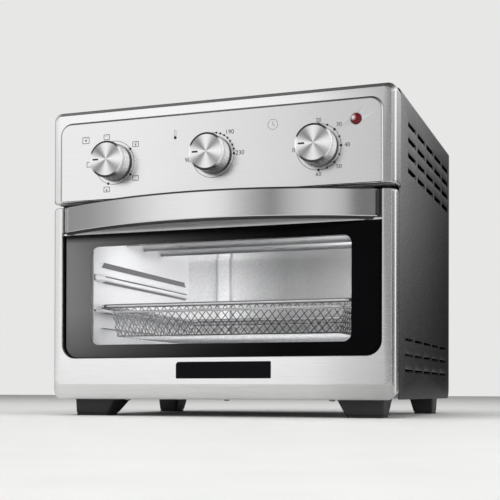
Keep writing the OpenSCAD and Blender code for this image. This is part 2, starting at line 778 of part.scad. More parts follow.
module basket_rim() color([0.8, 0.8, 0.82]) place() {
  rod_loop(rim_half, tub_front - 6, tub_back + 5, rim_z, rim_r);
  rod_loop(tub_half + hem_out, tub_front - hem_out, tub_back + hem_out, hem_z, hem_r,
    bend = hem_out + 0.1);
  // short struts tie the hem to the rim
  both_sides() for (y = [tub_front + 30, tub_back - 30])
    translate([tub_half + hem_out, y, hem_z]) rotate([0, strut_tilt, 0])
      cylinder(r = hem_r - 0.5, h = strut_len);
}

module crumb_tray() color([0.7, 0.7, 0.71]) place() difference() {
  block(-cavity_half + 3, 24, cavity_bottom + 0.3, cavity_half - 3, cavity_back - 6, cavity_bottom + 7);
  block(-cavity_half + 4, 25, cavity_bottom + 1.3, cavity_half - 4, cavity_back - 7, cavity_bottom + 8);
}
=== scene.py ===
import math

import bmesh
import bpy
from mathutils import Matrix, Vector
from mathutils.geometry import delaunay_2d_cdt


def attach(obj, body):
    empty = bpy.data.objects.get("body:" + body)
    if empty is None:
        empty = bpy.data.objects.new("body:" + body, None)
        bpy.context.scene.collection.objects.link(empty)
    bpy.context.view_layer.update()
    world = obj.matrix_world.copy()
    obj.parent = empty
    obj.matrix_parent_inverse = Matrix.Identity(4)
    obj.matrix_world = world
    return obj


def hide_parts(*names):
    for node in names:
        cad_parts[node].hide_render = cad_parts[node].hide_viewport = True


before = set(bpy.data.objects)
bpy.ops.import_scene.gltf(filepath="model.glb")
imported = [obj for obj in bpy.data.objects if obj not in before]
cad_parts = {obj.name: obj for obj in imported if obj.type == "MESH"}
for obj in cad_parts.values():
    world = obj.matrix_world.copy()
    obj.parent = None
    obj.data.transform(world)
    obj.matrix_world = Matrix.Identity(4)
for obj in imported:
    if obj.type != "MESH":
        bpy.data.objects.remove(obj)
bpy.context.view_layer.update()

# Lengths are millimetres, apart from those of the studio and the camera, which are metres.
# x is centred, y runs back from the door's face and z is the height above the counter, as in
# the part's own source.
MM = 0.001
FACE_Y = -146.0
HALF = 184.0
TOP = 321.0
FOOT = 18.0
DOOR_TOP = 219.3
FASCIA_LOW = 223.8
PANEL_Y = -1.8
BACK_Y = 332.0
DIAL_Z = 262.3
DIALS = {"function": -109.3, "temperature": 0.0, "timer": 109.3}
LENS = (146.3, 286.5)
HANDLE_HALF = 168.0
HANDLE_SHIFT = -2.5
HANDLE_R = (HANDLE_HALF**2 + 44.0**2) / 88.0
HANDLE_CENTRE = HANDLE_R - 40.0
GRIP_HALF = 157.0
CAVITY = 144.0
CAVITY_LOW, CAVITY_HIGH = 58.0, 206.0
CAVITY_BACK = 286.0
UPPER_TUBES = (95.0, 143.0, 193.0)
TUBE_Z = 193.0


# ---- outlines ----

def arc(cx, cz, r, a0, a1, n):
    """Points of an arc in degrees, both ends included."""
    step = (a1 - a0) / n
    return [(cx + r * math.cos(math.radians(a0 + step * i)),
             cz + r * math.sin(math.radians(a0 + step * i))) for i in range(n + 1)]


def rrect(x0, z0, x1, z1, low, high=None, n=8):
    """A closed rectangle with its own radius on the lower and the upper corners."""
    high = low if high is None else high
    return (arc(x0 + low, z0 + low, low, 180, 270, n) + arc(x1 - low, z0 + low, low, 270, 360, n)
            + arc(x1 - high, z1 - high, high, 0, 90, n)
            + arc(x0 + high, z1 - high, high, 90, 180, n))


def circle(cx, cz, r, n=32):
    return arc(cx, cz, r, 0, 360 - 360 / n, n - 1)


def inside(p, loop):
    hit = False
    for (x0, z0), (x1, z1) in zip(loop, loop[1:] + loop[:1]):
        if (z0 > p[1]) != (z1 > p[1]) and p[0] < (x1 - x0) * (p[1] - z0) / (z1 - z0) + x0:
            hit = not hit
    return hit


def front(y):
    """Lifts a front-view outline to the depth y."""
    return lambda x, z: (x, y, z)


def raised(loop, y):
    return [(x, y, z) for x, z in loop]


def level(loop, z):
    """A top-view outline at the height z."""
    return [(x, y, z) for x, y in loop]


# ---- mesh builder ----

def placed(name, data):
    obj = bpy.data.objects.new(name, data)
    bpy.context.scene.collection.objects.link(obj)
    return obj


class Shell:
    def __init__(self):
        self.points, self.faces = [], []

    def ring(self, points):
        start = len(self.points)
        self.points += [tuple(p) for p in points]
        return list(range(start, start + len(points)))

    def bridge(self, a, b, closed=True):
        n = len(a)
        for i in range(n if closed else n - 1):
            j = (i + 1) % n
            self.faces.append((a[i], a[j], b[j], b[i]))

    def loft(self, rings, closed=True, ends=False):
        ids = [self.ring(r) for r in rings]
        for a, b in zip(ids, ids[1:]):
            self.bridge(a, b, closed)
        if ends:
            self.faces += [tuple(reversed(ids[0])), tuple(ids[-1])]
        return ids

    def region(self, outer, holes, lift):
        """Fills a flat outline with holes."""
        flat, edges = [], []
        for loop in [outer] + holes:
            start = len(flat)
            flat += loop
            edges += [(start + i, start + (i + 1) % len(loop)) for i in range(len(loop))]
        got = delaunay_2d_cdt([Vector(p) for p in flat], edges, [], 0, 1e-5)
        ids = self.ring([lift(p.x, p.y) for p in got[0]])
        boxes = [(min(p[0] for p in h), max(p[0] for p in h), min(p[1] for p in h),
                  max(p[1] for p in h), h) for h in holes]
        for tri in got[2]:
            c = sum((got[0][i] for i in tri), Vector((0, 0))) / len(tri)
            if not inside(c, outer):
                continue
            if any(a < c.x < b and d < c.y < e and inside(c, h) for a, b, d, e, h in boxes):
                continue
            self.faces.append(tuple(ids[i] for i in tri))

    def plate(self, outer, holes, y0, y1):
        """A closed flat plate between y0 (front) and y1, with walls in its holes."""
        self.region(outer, holes, front(y0))
        self.region(outer, holes, front(y1))
        for loop in [outer] + holes:
            self.loft([raised(loop, y0), raised(loop, y1)])

    def tube(self, path, r, sides=8, closed=False):
        """A round rod along a path."""
        pts = [Vector(p) for p in path]
        n = len(pts)
        tangents = []
        for i in range(n):
            a = pts[i - 1] if i or closed else pts[0]
            b = pts[(i + 1) % n] if i < n - 1 or closed else pts[-1]
            tangents.append((b - a).normalized())
        up = Vector((0, 0, 1)) if abs(tangents[0].z) < 0.9 else Vector((1, 0, 0))
        side = tangents[0].cross(up).normalized()
        rings = []
        for p, t in zip(pts, tangents):
            side = (side - t * side.dot(t)).normalized()
            other = t.cross(side)
            rings.append([p + (side * math.cos(a) + other * math.sin(a)) * r
                          for a in (2 * math.pi * k / sides for k in range(sides))])
        ids = [self.ring(q) for q in rings]
        for a, b in zip(ids, ids[1:]):
            self.bridge(a, b)
        if closed:
            self.bridge(ids[-1], ids[0])
        else:
            self.faces += [tuple(reversed(ids[0])), tuple(ids[-1])]

    def spin(self, profile, x, z, n=72):
        """Turns a profile of (radius, y) about the line through x and z, parallel to y."""
        self.loft([raised(circle(x, z, r, n), y) for r, y in profile], ends=True)

    def grid(self, rows):
        """A sheet through rows of points."""
        self.loft(rows, closed=False)

    def build(self, name, body, material, slot, replaces=(), thick=0.0, toward=None, sharp=35,
              flat=False, others=()):
        """Makes the object. others lists (material, test) for faces that look different."""
        bm = bmesh.new()
        verts = [bm.verts.new((x * MM, (y + FACE_Y) * MM, z * MM)) for x, y, z in self.points]
        for f in self.faces:
            if len(set(f)) > 2:
                try:
                    bm.faces.new([verts[i] for i in f])
                except ValueError:
                    pass
        bmesh.ops.remove_doubles(bm, verts=bm.verts, dist=2e-6)
        bmesh.ops.dissolve_degenerate(bm, edges=bm.edges, dist=1e-6)
        loose = [v for v in bm.verts if not v.link_faces]
        bmesh.ops.delete(bm, geom=loose, context="VERTS")
        bmesh.ops.recalc_face_normals(bm, faces=bm.faces)
        if toward:
            push = sum((f.normal * f.calc_area() for f in bm.faces), Vector((0, 0, 0)))
            if push.dot(Vector(toward)) < 0:
                bmesh.ops.reverse_faces(bm, faces=bm.faces)
        mesh = bpy.data.meshes.new(name)
        bm.to_mesh(mesh)
        bm.free()
        mesh.polygons.foreach_set("use_smooth", [not flat] * len(mesh.polygons))
        mesh.set_sharp_from_angle(angle=math.radians(sharp))
        obj = placed(name, mesh)
        if thick:
            solid = obj.modifiers.new("thickness", "SOLIDIFY")
            solid.thickness = thick * MM
            solid.offset = -1.0
            solid.use_even_offset = True
        weigh = obj.modifiers.new("normals", "WEIGHTED_NORMAL")
        weigh.keep_sharp = True
        mesh.materials.append(material)
        for index, (other, test) in enumerate(others, 1):
            mesh.materials.append(other)
            for face in mesh.polygons:
                x, y, z = face.center / MM
                if test(x, y - FACE_Y, z):
                    face.material_index = index
        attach(obj, body)
        if replaces:
            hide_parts(*replaces)


# ---- materials ----

# half the length that a tone along an axis is given over
REACH = 400.0
# the span of the fine noise that carries the variation, and the scale of the smudges
FINE_RANGE = (0.3, 0.7)
SMUDGE_SCALE = 14.0


def make(tree, kind, inputs=(), **settings):
    """A node with its settings, and its inputs set to values or linked to sockets."""
    node = tree.nodes.new("ShaderNode" + kind)
    for key, value in settings.items():
        setattr(node, key, value)
    for key, value in dict(inputs).items():
        if isinstance(value, bpy.types.NodeSocket):
            tree.links.new(value, node.inputs[key])
        else:
            node.inputs[key].default_value = value
    return node


def maths(tree, kind, *values):
    return make(tree, "Math", dict(enumerate(values)), operation=kind).outputs[0]


def mapped(tree, value, low, high, to_low=0.0, to_high=1.0, **settings):
    return make(tree, "MapRange", {"Value": value, "From Min": low, "From Max": high,
                                   "To Min": to_low, "To Max": to_high},
                **settings).outputs["Result"]


def mixed(tree, first, second, kind="MULTIPLY", factor=1.0):
    return make(tree, "Mix", {"Factor": factor, 6: first, 7: second}, data_type="RGBA",
                blend_type=kind).outputs[2]


def ramp(tree, fac, stops):
    """A ramp through stops of (position, grey or colour)."""
    node = make(tree, "ValToRGB", {"Fac": fac})
    elements = node.color_ramp.elements
    while len(elements) < len(stops):
        elements.new(0.5)
    for element, (at, value) in zip(elements, stops):
        element.position = at
        element.color = [*value, 1] if isinstance(value, list) else [value, value, value, 1]
    return node.outputs["Color"]


def painted_sector_light(tree, coord, stops):
    """Painted light and shade in sectors by angle about a piece's own middle, 0 and 1 at three
    o'clock.
    """
    split = make(tree, "SeparateXYZ", {0: coord.outputs["Generated"]})
    across, up = [maths(tree, "SUBTRACT", split.outputs[axis], 0.5) for axis in "XZ"]
    share = mapped(tree, maths(tree, "ARCTAN2", up, across), -math.pi, math.pi, -0.5, 0.5)
    return ramp(tree, maths(tree, "FRACT", share), stops)


def along(tree, coord, axis, stops):
    """A grey that follows stops of (millimetres, value) along an axis of the object."""
    split = make(tree, "SeparateXYZ", {0: coord.outputs["Object"]})
    share = mapped(tree, split.outputs[axis], -REACH * MM, REACH * MM)
    return ramp(tree, share, [(0.5 + 0.5 * at / REACH, value) for at, value in stops])


def surface(name, colour, rough, metallic=0.0, grain=300, vary=0.05, rough_vary=0.05,
            bump=0.0, bump_size=0.1, smudge=0.03, detail=3.0, painted_sectors=None, added=(), shades=(),
            **sockets):
    """A procedural surface: fine grain in colour, roughness and bump, and broad smudges.

    grain is the noise scale, one number or one for each axis. shades multiply the colour with
    painted shade and highlights, and added, whose stops multiply each other, is added to it as
    painted light. The sector stops paint light and shade into the colour by angle about the
    piece's middle.
    """
    mat = bpy.data.materials.new(name)
    mat.use_nodes = True
    tree = mat.node_tree
    bsdf = tree.nodes["Principled BSDF"]
    bsdf.inputs["Metallic"].default_value = metallic
    for key, value in sockets.items():
        bsdf.inputs[key.replace("_", " ")].default_value = value
    coord = make(tree, "TexCoord")
    scale = grain if isinstance(grain, tuple) else (grain,) * 3
    stretch = make(tree, "Mapping", {"Vector": coord.outputs["Object"], "Scale": scale})
    fine = make(tree, "TexNoise", {"Vector": stretch.outputs["Vector"], "Scale": 1.0,
                                   "Detail": detail}).outputs["Fac"]
    broad = make(tree, "TexNoise", {"Vector": coord.outputs["Object"], "Scale": SMUDGE_SCALE,
                                    "Detail": 2.0}).outputs["Fac"]
    low, high = FINE_RANGE
    tint = ramp(tree, fine, [(at, [min(c * gain, 1.0) for c in colour])
                             for at, gain in ((low, 1 - vary), (high, 1 + vary))])
    if painted_sectors:
        tint = mixed(tree, tint, painted_sector_light(tree, coord, painted_sectors))
    for axis, stops in shades:
        tint = mixed(tree, tint, along(tree, coord, axis, stops))
    if added:
        painted_light = along(tree, coord, *added[0])
        for axis, stops in added[1:]:
            painted_light = mixed(tree, painted_light, along(tree, coord, axis, stops))
        tint = mixed(tree, tint, painted_light, "ADD")
    tree.links.new(tint, bsdf.inputs["Base Color"])
    spread = mapped(tree, fine, low, high, max(rough - rough_vary, 0.02), rough + rough_vary)
    tree.links.new(maths(tree, "MULTIPLY_ADD", broad, smudge, spread), bsdf.inputs["Roughness"])
    if bump:
        raise_ = make(tree, "Bump", {"Strength": bump, "Distance": bump_size * MM,
                                     "Height": fine})
        tree.links.new(raise_.outputs["Normal"], bsdf.inputs["Normal"])
    return mat


# grains: brushed along the front, and round the side of a knob
BRUSHED, TURNED = (14, 900, 2600), (900, 60, 900)

# painted shade: the front steel darkens towards its right-hand end, with a painted highlight along
# the rim there, where the sheet turns back
STEEL = surface(
    "satin_stainless", (0.965, 0.965, 0.97), 0.24, 1.0, grain=BRUSHED, vary=0.012,
    rough_vary=0.03, bump=0.012, bump_size=0.02,
    shades=[("X", [(-184, 1.0), (60, 1.0), (100, 0.96), (120, 0.87), (136, 0.78), (153, 0.72),
        (170, 0.65), (179.2, 0.64), (180.6, 0.55), (181.6, 0.58), (182.2, 1.0), (184, 1.0)])])
# painted shade: the raised panel is a darker copy of the front steel that darkens further towards
# the right
PANEL_STEEL = surface(
    "satin_stainless_panel", (0.92, 0.92, 0.925), 0.24, 1.0, grain=BRUSHED, vary=0.012,
    rough_vary=0.03, bump=0.02, bump_size=0.02,
    shades=[("X", [(-184, 0.97), (-100, 0.96), (-50, 0.92), (18, 0.86), (85, 0.80), (119, 0.74),
        (184, 0.71)])])
FLANGE_STEEL = surface("bright_flange_sheet", (0.86, 0.86, 0.86), 0.35, 0.2, rough_vary=0.06)
# painted shade on the handle's underside, darkest at its front edge and lightening to a painted
# highlight along its rear edge by the glass
UNDER_STEEL = surface(
    "handle_underside_sheet", (0.93, 0.93, 0.93), 0.4, 0.1, grain=(14, 900, 900), vary=0.06,
    shades=[("Y", [(-186, 0.25), (-163, 0.30), (-152, 0.7), (-146, 1.0), (-142, 1.0)])])
HANDLE_STEEL = surface(
    "polished_stainless", (0.78, 0.78, 0.79), 0.13, 1.0, grain=(10, 900, 2400), vary=0.03,
    rough_vary=0.03, bump=0.08, bump_size=0.02, smudge=0.02)
# painted sheen: light is added to the black coat towards the front of the cabinet and towards its
# top
PAINT = surface(
    "black_powder_coat", (0.012, 0.012, 0.013), 0.27, grain=900, vary=0.2, rough_vary=0.04,
    bump=0.08, bump_size=0.05, IOR=1.15,
    added=[("Y", [(-119, 0.155), (-60, 0.105), (0, 0.072), (80, 0.030), (150, 0.006), (186, 0.0)]),
        ("Z", [(0, 0.03), (60, 0.2), (120, 0.45), (200, 0.85), (320, 1.25)])])
ZINC = surface(
    "galvanised_sheet", (0.62, 0.63, 0.64), 0.42, 1.0, grain=130, vary=0.12, rough_vary=0.10,
    bump=0.10, bump_size=0.05)
CAVITY_STEEL = surface(
    "aluminised_sheet", (0.84, 0.84, 0.85), 0.36, 0.45, grain=480, vary=0.07, rough_vary=0.08,
    bump=0.14, bump_size=0.05, smudge=0.08)
# painted shade: a dark face for the parts of the wall rails and of the basket rim that lie in
# shade
PAINTED_SHADE_FACE = surface(
    "painted_shade_face", (0.14, 0.14, 0.145), 0.36, 0.3, grain=480, vary=0.12, rough_vary=0.08)
# painted shade: dark lines along both edges of the rib, a part right of the rib that darkens
# towards the right, and slight darkening towards the top
BACK_STEEL = surface(
    "aluminised_back_sheet", (0.97, 0.97, 0.98), 0.38, 0.08, grain=330, vary=0.13, rough_vary=0.08,
    bump=0.15, bump_size=0.06, detail=5.0,
    shades=[("X", [(-144, 1.0), (-112, 0.96), (-106, 0.95), (-105.3, 0.25), (-103.4, 0.25),
        (-102.8, 1.0), (-85.2, 1.0), (-84.6, 0.25), (-82.7, 0.25), (-82, 0.84), (-63, 0.60),
        (-46, 0.43), (-29, 0.31), (-12, 0.22), (4, 0.21), (21, 0.18), (60, 0.16), (144, 0.16)]),
        ("Z", [(58, 1.0), (120, 1.0), (150, 1.0), (206, 0.90)])])
FOOT_PLASTIC = surface(
    "foot_plastic", (0.018, 0.018, 0.019), 0.45, grain=1500, vary=0.2, rough_vary=0.08, bump=0.25,
    bump_size=0.05)
HANDLE_PLASTIC = surface(
    "handle_plastic", (0.012, 0.012, 0.013), 0.32, grain=1500, vary=0.2, bump=0.08, bump_size=0.04)
ENAMEL = surface(
    "black_enamel", (0.008, 0.008, 0.009), 0.16, grain=220, vary=0.15, rough_vary=0.03, bump=0.05,
    bump_size=0.03, Coat_Weight=0.4, Coat_Roughness=0.05)
# painted reflection: a grey added to the black border, strongest at the left end and fading to the
# right and towards the bottom, with a painted shadow band just below the trim strip
BORDER = surface(
    "black_glass_border", (0.0015, 0.0015, 0.002), 0.05, grain=60, vary=0.1, rough_vary=0.01,
    smudge=0.02, Specular_IOR_Level=0.03,
    added=[("X", [(-170, 0.185), (-150, 0.155), (-115, 0.108), (-80, 0.070), (-40, 0.037),
        (-10, 0.018), (30, 0.006), (70, 0.0)]),
        ("Z", [(60, 0.50), (80, 0.70), (110, 0.97), (183.5, 1.0), (185.5, 0.08), (190, 0.05)])])
PANE = dict(grain=60, vary=0.1, rough_vary=0.01, smudge=0.015, IOR=1.52, Specular_IOR_Level=0.2)
GLASS = surface("clear_glass", (0.05, 0.055, 0.055), 0.03, Alpha=0.05, **PANE)
INNER_GLASS = surface("inner_glass", (0.10, 0.11, 0.11), 0.04, Alpha=0.03, **PANE)
RUBBER = surface(
    "seal_rubber", (0.015, 0.015, 0.015), 0.65, grain=900, vary=0.2, bump=0.2, bump_size=0.05)
PRINT = surface("black_print", (0.012, 0.012, 0.013), 0.5, grain=2500, vary=0.2)
PLATE = surface(
    "gloss_black_plate", (0.004, 0.004, 0.005), 0.16, vary=0.15, rough_vary=0.02,
    Specular_IOR_Level=0.05)
# painted highlight: a small light patch added at the lens's left side
RED = surface(
    "red_lens", (0.11, 0.003, 0.007), 0.10, grain=700, vary=0.25, rough_vary=0.02,
    Specular_IOR_Level=0.35,
    added=[("X", [(142.6, 0.0), (143.3, 0.8), (144.0, 0.8), (144.9, 0.0)]),
        ("Z", [(285.2, 0.0), (286.2, 1.0), (287.8, 1.0), (288.9, 0.0)])])
# painted reflection: the cap is lighter in four sectors, at three, six, nine and twelve o'clock,
# and darker between them
CAP = surface(
    "turned_aluminium", (0.95, 0.95, 0.95), 0.24, 1.0, grain=500, vary=0.02, rough_vary=0.03,
    painted_sectors=[(0.0, 1.0), (0.04, 0.88), (0.09, 0.45), (0.125, 0.33), (0.16, 0.45), (0.21, 0.86),
        (0.25, 0.98), (0.29, 0.86), (0.34, 0.42), (0.375, 0.30), (0.41, 0.42), (0.47, 0.92),
        (0.5, 1.0), (0.54, 0.92), (0.59, 0.42), (0.625, 0.32), (0.66, 0.45), (0.71, 0.85),
        (0.75, 0.95), (0.79, 0.85), (0.84, 0.5), (0.875, 0.38), (0.91, 0.5), (0.96, 0.9),
        (1.0, 1.0)])
# painted reflection: the rim is dark in an arc over the top, from about half past nine to half
# past one, and in one under the bottom, from about half past seven to half past four
RIM = surface(
    "cap_rim", (0.95, 0.95, 0.95), 0.16, 0.3, grain=500, vary=0.03, rough_vary=0.03,
    painted_sectors=[(0.0, 0.9), (0.10, 0.8), (0.13, 0.05), (0.25, 0.012), (0.43, 0.02), (0.455, 0.9),
        (0.52, 1.0), (0.59, 0.5), (0.63, 0.06), (0.75, 0.03), (0.84, 0.05), (0.88, 0.6),
        (1.0, 0.9)])
# painted light and shade: the knob's side is brightest at three o'clock, dark across the top and
# darkest underneath
KNOB = surface(
    "knob_side", (0.97, 0.97, 0.97), 0.26, 0.12, grain=TURNED, vary=0.02, rough_vary=0.03,
    painted_sectors=[(0.0, 1.0), (0.06, 0.92), (0.12, 0.5), (0.20, 0.28), (0.50, 0.4), (0.70, 0.18),
        (0.80, 0.18), (0.86, 0.28), (0.90, 0.55), (0.94, 0.9), (1.0, 1.0)])
# painted shade: the skirt is a darker grey than the knob's side, darkest on its right and lightest
# at about eight o'clock
SKIRT = surface(
    "knob_skirt", (0.45, 0.45, 0.46), 0.3, 0.3, grain=TURNED, rough_vary=0.03,
    painted_sectors=[(0.0, 0.22), (0.15, 0.35), (0.26, 0.6), (0.60, 1.0), (0.75, 0.6), (0.85, 0.25),
        (1.0, 0.22)])
CHROME = surface(
    "chromed_rod", (0.82, 0.82, 0.83), 0.10, 1.0, grain=500, vary=0.04, rough_vary=0.03)
# painted shade: the wires at the front and sides of the basket darken towards the right
WIRE_CLOTH = surface(
    "wire_cloth", (0.40, 0.40, 0.405), 0.24, 0.6, grain=700, vary=0.1,
    shades=[("X", [(-130, 1.0), (-90, 0.8), (-40, 0.34), (20, 0.18), (130, 0.12)])])
# painted light: the far end and the floor of the basket are a lighter copy of its wire, with
# painted shade towards the rear
PAINTED_LIT_CLOTH = surface(
    "painted_lit_wire_cloth", (0.74, 0.74, 0.75), 0.28, 0.3, grain=700, vary=0.08,
    shades=[("Y", [(-116, 1.0), (-50, 0.9), (0, 0.5), (126, 0.38)])])
# painted shade and highlight: the upper tubes are dark underneath and light on top, and the lower
# tubes are darker all over
TUBE = surface(
    "heater_tube", (0.56, 0.56, 0.565), 0.30, 1.0, grain=(60, 900, 900), vary=0.1, rough_vary=0.06,
    bump=0.05, bump_size=0.03,
    shades=[("Z", [(60, 0.6), (188, 0.6), (189.4, 0.28), (190.6, 0.32), (191.4, 1.0),
        (193, 1.1)])])
CERAMIC = surface(
    "heater_ceramic", (0.75, 0.72, 0.65), 0.7, grain=800, vary=0.06, bump=0.15, bump_size=0.05)
PLASTIC = surface("switch_plastic", (0.62, 0.60, 0.54), 0.5, grain=600, bump=0.05)
IRON = surface(
    "motor_iron", (0.35, 0.35, 0.37), 0.5, 1.0, grain=(60, 60, 1600), vary=0.15, rough_vary=0.1,
    bump=0.3)
COPPER = surface(
    "coil_copper", (0.62, 0.30, 0.13), 0.35, 1.0, grain=(60, 1400, 1400), vary=0.2, bump=0.4,
    bump_size=0.15)
LAMP = surface("lamp_glass", (0.75, 0.68, 0.55), 0.2, grain=400, vary=0.1)

# the solids that are shown as they are
NODE_LOOKS = [
    (PAINT, "back_cover"),
    (ZINC, "base_plate control_bracket thermostat fan_case hinge_brackets hinge_pins"),
    (ZINC, "cabinet_screws function_shaft temperature_shaft timer_shaft motor_shaft"),
    (FLANGE_STEEL, "front_chassis"),
    (PLASTIC, "function_switch timer_unit"),
    (LAMP, "indicator_lamp"),
    (CAVITY_STEEL, "cavity_floor cavity_roof convection_fan cooling_fan crumb_tray"),
    (TUBE, "upper_heater_front upper_heater_middle upper_heater_rear"),
    (TUBE, "lower_heater_front lower_heater_rear"),
    (CERAMIC, "heater_ceramics"),
    (IRON, "fan_motor"),
    (COPPER, "motor_coil"),
    (ENAMEL, "door_inner_panel door_top_rail"),
    (INNER_GLASS, "door_inner_glass"),
    (RUBBER, "door_seal"),
    (STEEL, "door_trim_strip"),
]
for look, names in NODE_LOOKS:
    for node_name in names.split():
        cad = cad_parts[node_name]
        cad.data.materials.clear()
        cad.data.materials.append(look)


# ---- front sheets ----

CROWN_X = 173.2
CROWN_SLOPE = 0.165
CROWN_END = 6.4
BEVEL_BACK = 8.2
OPENING_HALF, OPENING_LOW, OPENING_R = 171.0, 60.2, 15.0
# the door's lower fold is short, so that it clears the hinge brackets as it swings
LOWER_FOLD = 6.6


def crowned(x, y):
    """Depth of the front sheets: their outer borders fall away towards the sides."""
    reach = min(max(abs(x) - CROWN_X, 0.0), CROWN_END)
    return y + CROWN_SLOPE * reach * max(0.0, 1.0 - y / BEVEL_BACK)


def pressed(loop, y):
    return [(x, crowned(x, y), z) for x, z in loop]


def on_front(x, z):
    return x, crowned(x, 0.0), z


def border_strips(shell, border):
    """Fills the strips outside the crown lines and says where those lines start and end."""
    for side in (-1, 1):
        shell.region([(side * x, z) for x, z in border], [], on_front)
    return border[0][1], border[-1][1]


def door_path(side, low, top, low_r, top_r):
    """The door's outer edge, open at the top between the two legs."""
    x, z0, z1 = HALF - side, FOOT - 0.5 + low, DOOR_TOP - top
    right = ([(CROWN_X, z0)] + arc(x - low_r, z0 + low_r, low_r, 270, 360, 10)
             + arc(x - top_r, z1 - top_r, top_r, 0, 90, 6) + [(CROWN_X, z1), (171.8, z1)])
    left = [(-px, pz) for px, pz in reversed(right)]
    return left + right


def opening_path(grow, top):
    """The window's edge, open at the top, grow millimetres outside its true size."""
    right = arc(OPENING_HALF - OPENING_R, OPENING_LOW + OPENING_R, OPENING_R + grow, 270, 360,
                14) + [(OPENING_HALF + grow, top)]
    return [(-px, pz) for px, pz in reversed(right)] + right


def door_skin():
    s, rings = Shell(), []
    # side inset, bottom inset, top inset, depth, lower radius
    table = [(0, 0, 0, 17, 9), (0, 0, 0, 8.2, 9), (0.15, 0.15, 0, 7.3, 8.9),
             (0.5, 0.45, 0, 6.4, 8.6), (1.0, 1.0, 0, 5.65, 8.2), (1.6, 1.8, 0, 5.0, 7.8),
             (2.7, 8.1, 0.05, 2.65, 6.4), (3.7, 14.0, 0.3, 0.4, 5.1), (4.0, 15.0, 0.7, 0.1, 4.9),
             (4.4, 15.7, 1.2, 0.0, 4.7)]
    for a, b, c, y, r in table:
        ring = pressed(door_path(a, b, c, r, 3), y)
        rings.append([(px, py if pz > FOOT + 4 else min(py, LOWER_FOLD), pz)
                      for px, py, pz in ring])
    s.loft(rings, closed=False)
    a, b, c, y, r = table[-1]
    outer = door_path(a, b, c, r, 3)
    low, top = border_strips(s, outer[len(outer) // 2:-1])
    s.region([(-CROWN_X, top), (-CROWN_X, low), (CROWN_X, low), (CROWN_X, top)]
             + list(reversed(opening_path(0.8, top))), [], on_front)
    s.loft([raised(opening_path(g, DOOR_TOP - t), y) for g, t, y in
            [(0.8, 1.2, 0.0), (0.35, 0.6, 0.15), (0.06, 0.2, 0.5), (0, 0, 1.2), (0, 0, 4.4)]],
           closed=False)
    s.build("door_pressed_frame", "door", STEEL, "stainless_front", ["door_frame"], thick=0.9,
            toward=(0, -1, 0))


def fascia_loop(side, top, low, low_r, top_r):
    x, z0, z1 = HALF - side, FASCIA_LOW + low, TOP - top
    right = ([(CROWN_X, z0)] + arc(x - low_r, z0 + low_r, low_r, 270, 360, 8)
             + arc(x - top_r, z1 - top_r, top_r, 0, 90, 8) + [(CROWN_X, z1)])
    return right + [(-px, pz) for px, pz in reversed(right)]


def panel_loop(grow):
    return rrect(-170.5 - grow, FASCIA_LOW + 1.6 - 0.2 * grow, 170.5 + grow, 305 + grow,
                 1.2, 11 + grow, 10)


def fascia_skin():
    s = Shell()
    # side inset, top inset, bottom inset, depth, lower radius, upper radius
    table = [(0, 0, 0, 26.9, 3.5, 9), (0, 0, 0, 8.2, 3.5, 9), (0.15, 0.15, 0, 7.3, 3.5, 8.9),
             (0.5, 0.45, 0, 6.4, 3.4, 8.6), (1.0, 0.9, 0, 5.65, 3.3, 8.2),
             (1.6, 1.5, 0, 5.0, 3.2, 7.8), (2.7, 3.2, 0.1, 2.65, 2.9, 7.0),
             (3.7, 4.7, 0.5, 0.4, 2.6, 6.2), (4.0, 5.1, 0.8, 0.1, 2.5, 6.0),
             (4.4, 5.6, 1.0, 0.0, 2.4, 5.8)]
    s.loft([pressed(fascia_loop(a, b, c, r, q), y) for a, b, c, y, r, q in table])
    a, b, c, y, r, q = table[-1]
    outer = fascia_loop(a, b, c, r, q)
    low, top = border_strips(s, outer[:len(outer) // 2])
    s.region([(-CROWN_X, low), (CROWN_X, low), (CROWN_X, top), (-CROWN_X, top)],
             [panel_loop(2.6)], on_front)
    s.loft([raised(panel_loop(g), y) for g, y in
            [(2.6, 0), (2.2, -0.1), (1.7, -0.42), (1.1, -1.0), (0.6, -1.48), (0.2, -1.74),
             (-0.3, PANEL_Y)]])
    holes = [circle(x, DIAL_Z, 3.5, 24) for x in DIALS.values()] + [circle(*LENS, 4.0, 24)]
    s.region(panel_loop(-0.3), holes, front(PANEL_Y))
    # the faces of the raised panel take the darker copy of the steel, a painted shade
    s.build("fascia_pressed_panel", "housing", STEEL, "stainless_front", ["control_fascia"],
            thick=0.9, toward=(0, -1, 0),
            others=[(PANEL_STEEL, lambda x, y, z: y < PANEL_Y + 0.3)])


# ---- cabinet ----

# the top fold's radius and front edge, and the radius of the lower rear corner
FOLD_R, FOLD_Y = 5.0, 27.0
REAR_R = 12.0
LOUVRE_LEN = 44.0
# the shares of a scoop's length over which it opens and after which it closes
SCOOP_OPENS, SCOOP_CLOSES = 0.05, 0.62
# rows of (front end, upper edge, height)
UPPER_LOUVRES = [(63 + 53 * c, 296.5 - 15.5 * r, 5.5) for r in range(4) for c in range(5)]
LOWER_LOUVRES = [(49 + 53 * c, 79 - 15.5 * r, 3.0) for r in range(3) for c in range(5)]


def side_outline():
    """The cabinet's side as (y, z), up to the start of the top fold."""
    return ([(20, FOOT), (BACK_Y - REAR_R, FOOT)]
            + arc(BACK_Y - REAR_R, FOOT + REAR_R, REAR_R, 270, 360, 8)[1:]
            + [(BACK_Y, TOP - FOLD_R), (FOLD_Y, TOP - FOLD_R), (FOLD_Y, 222.3), (20, 222.3)])


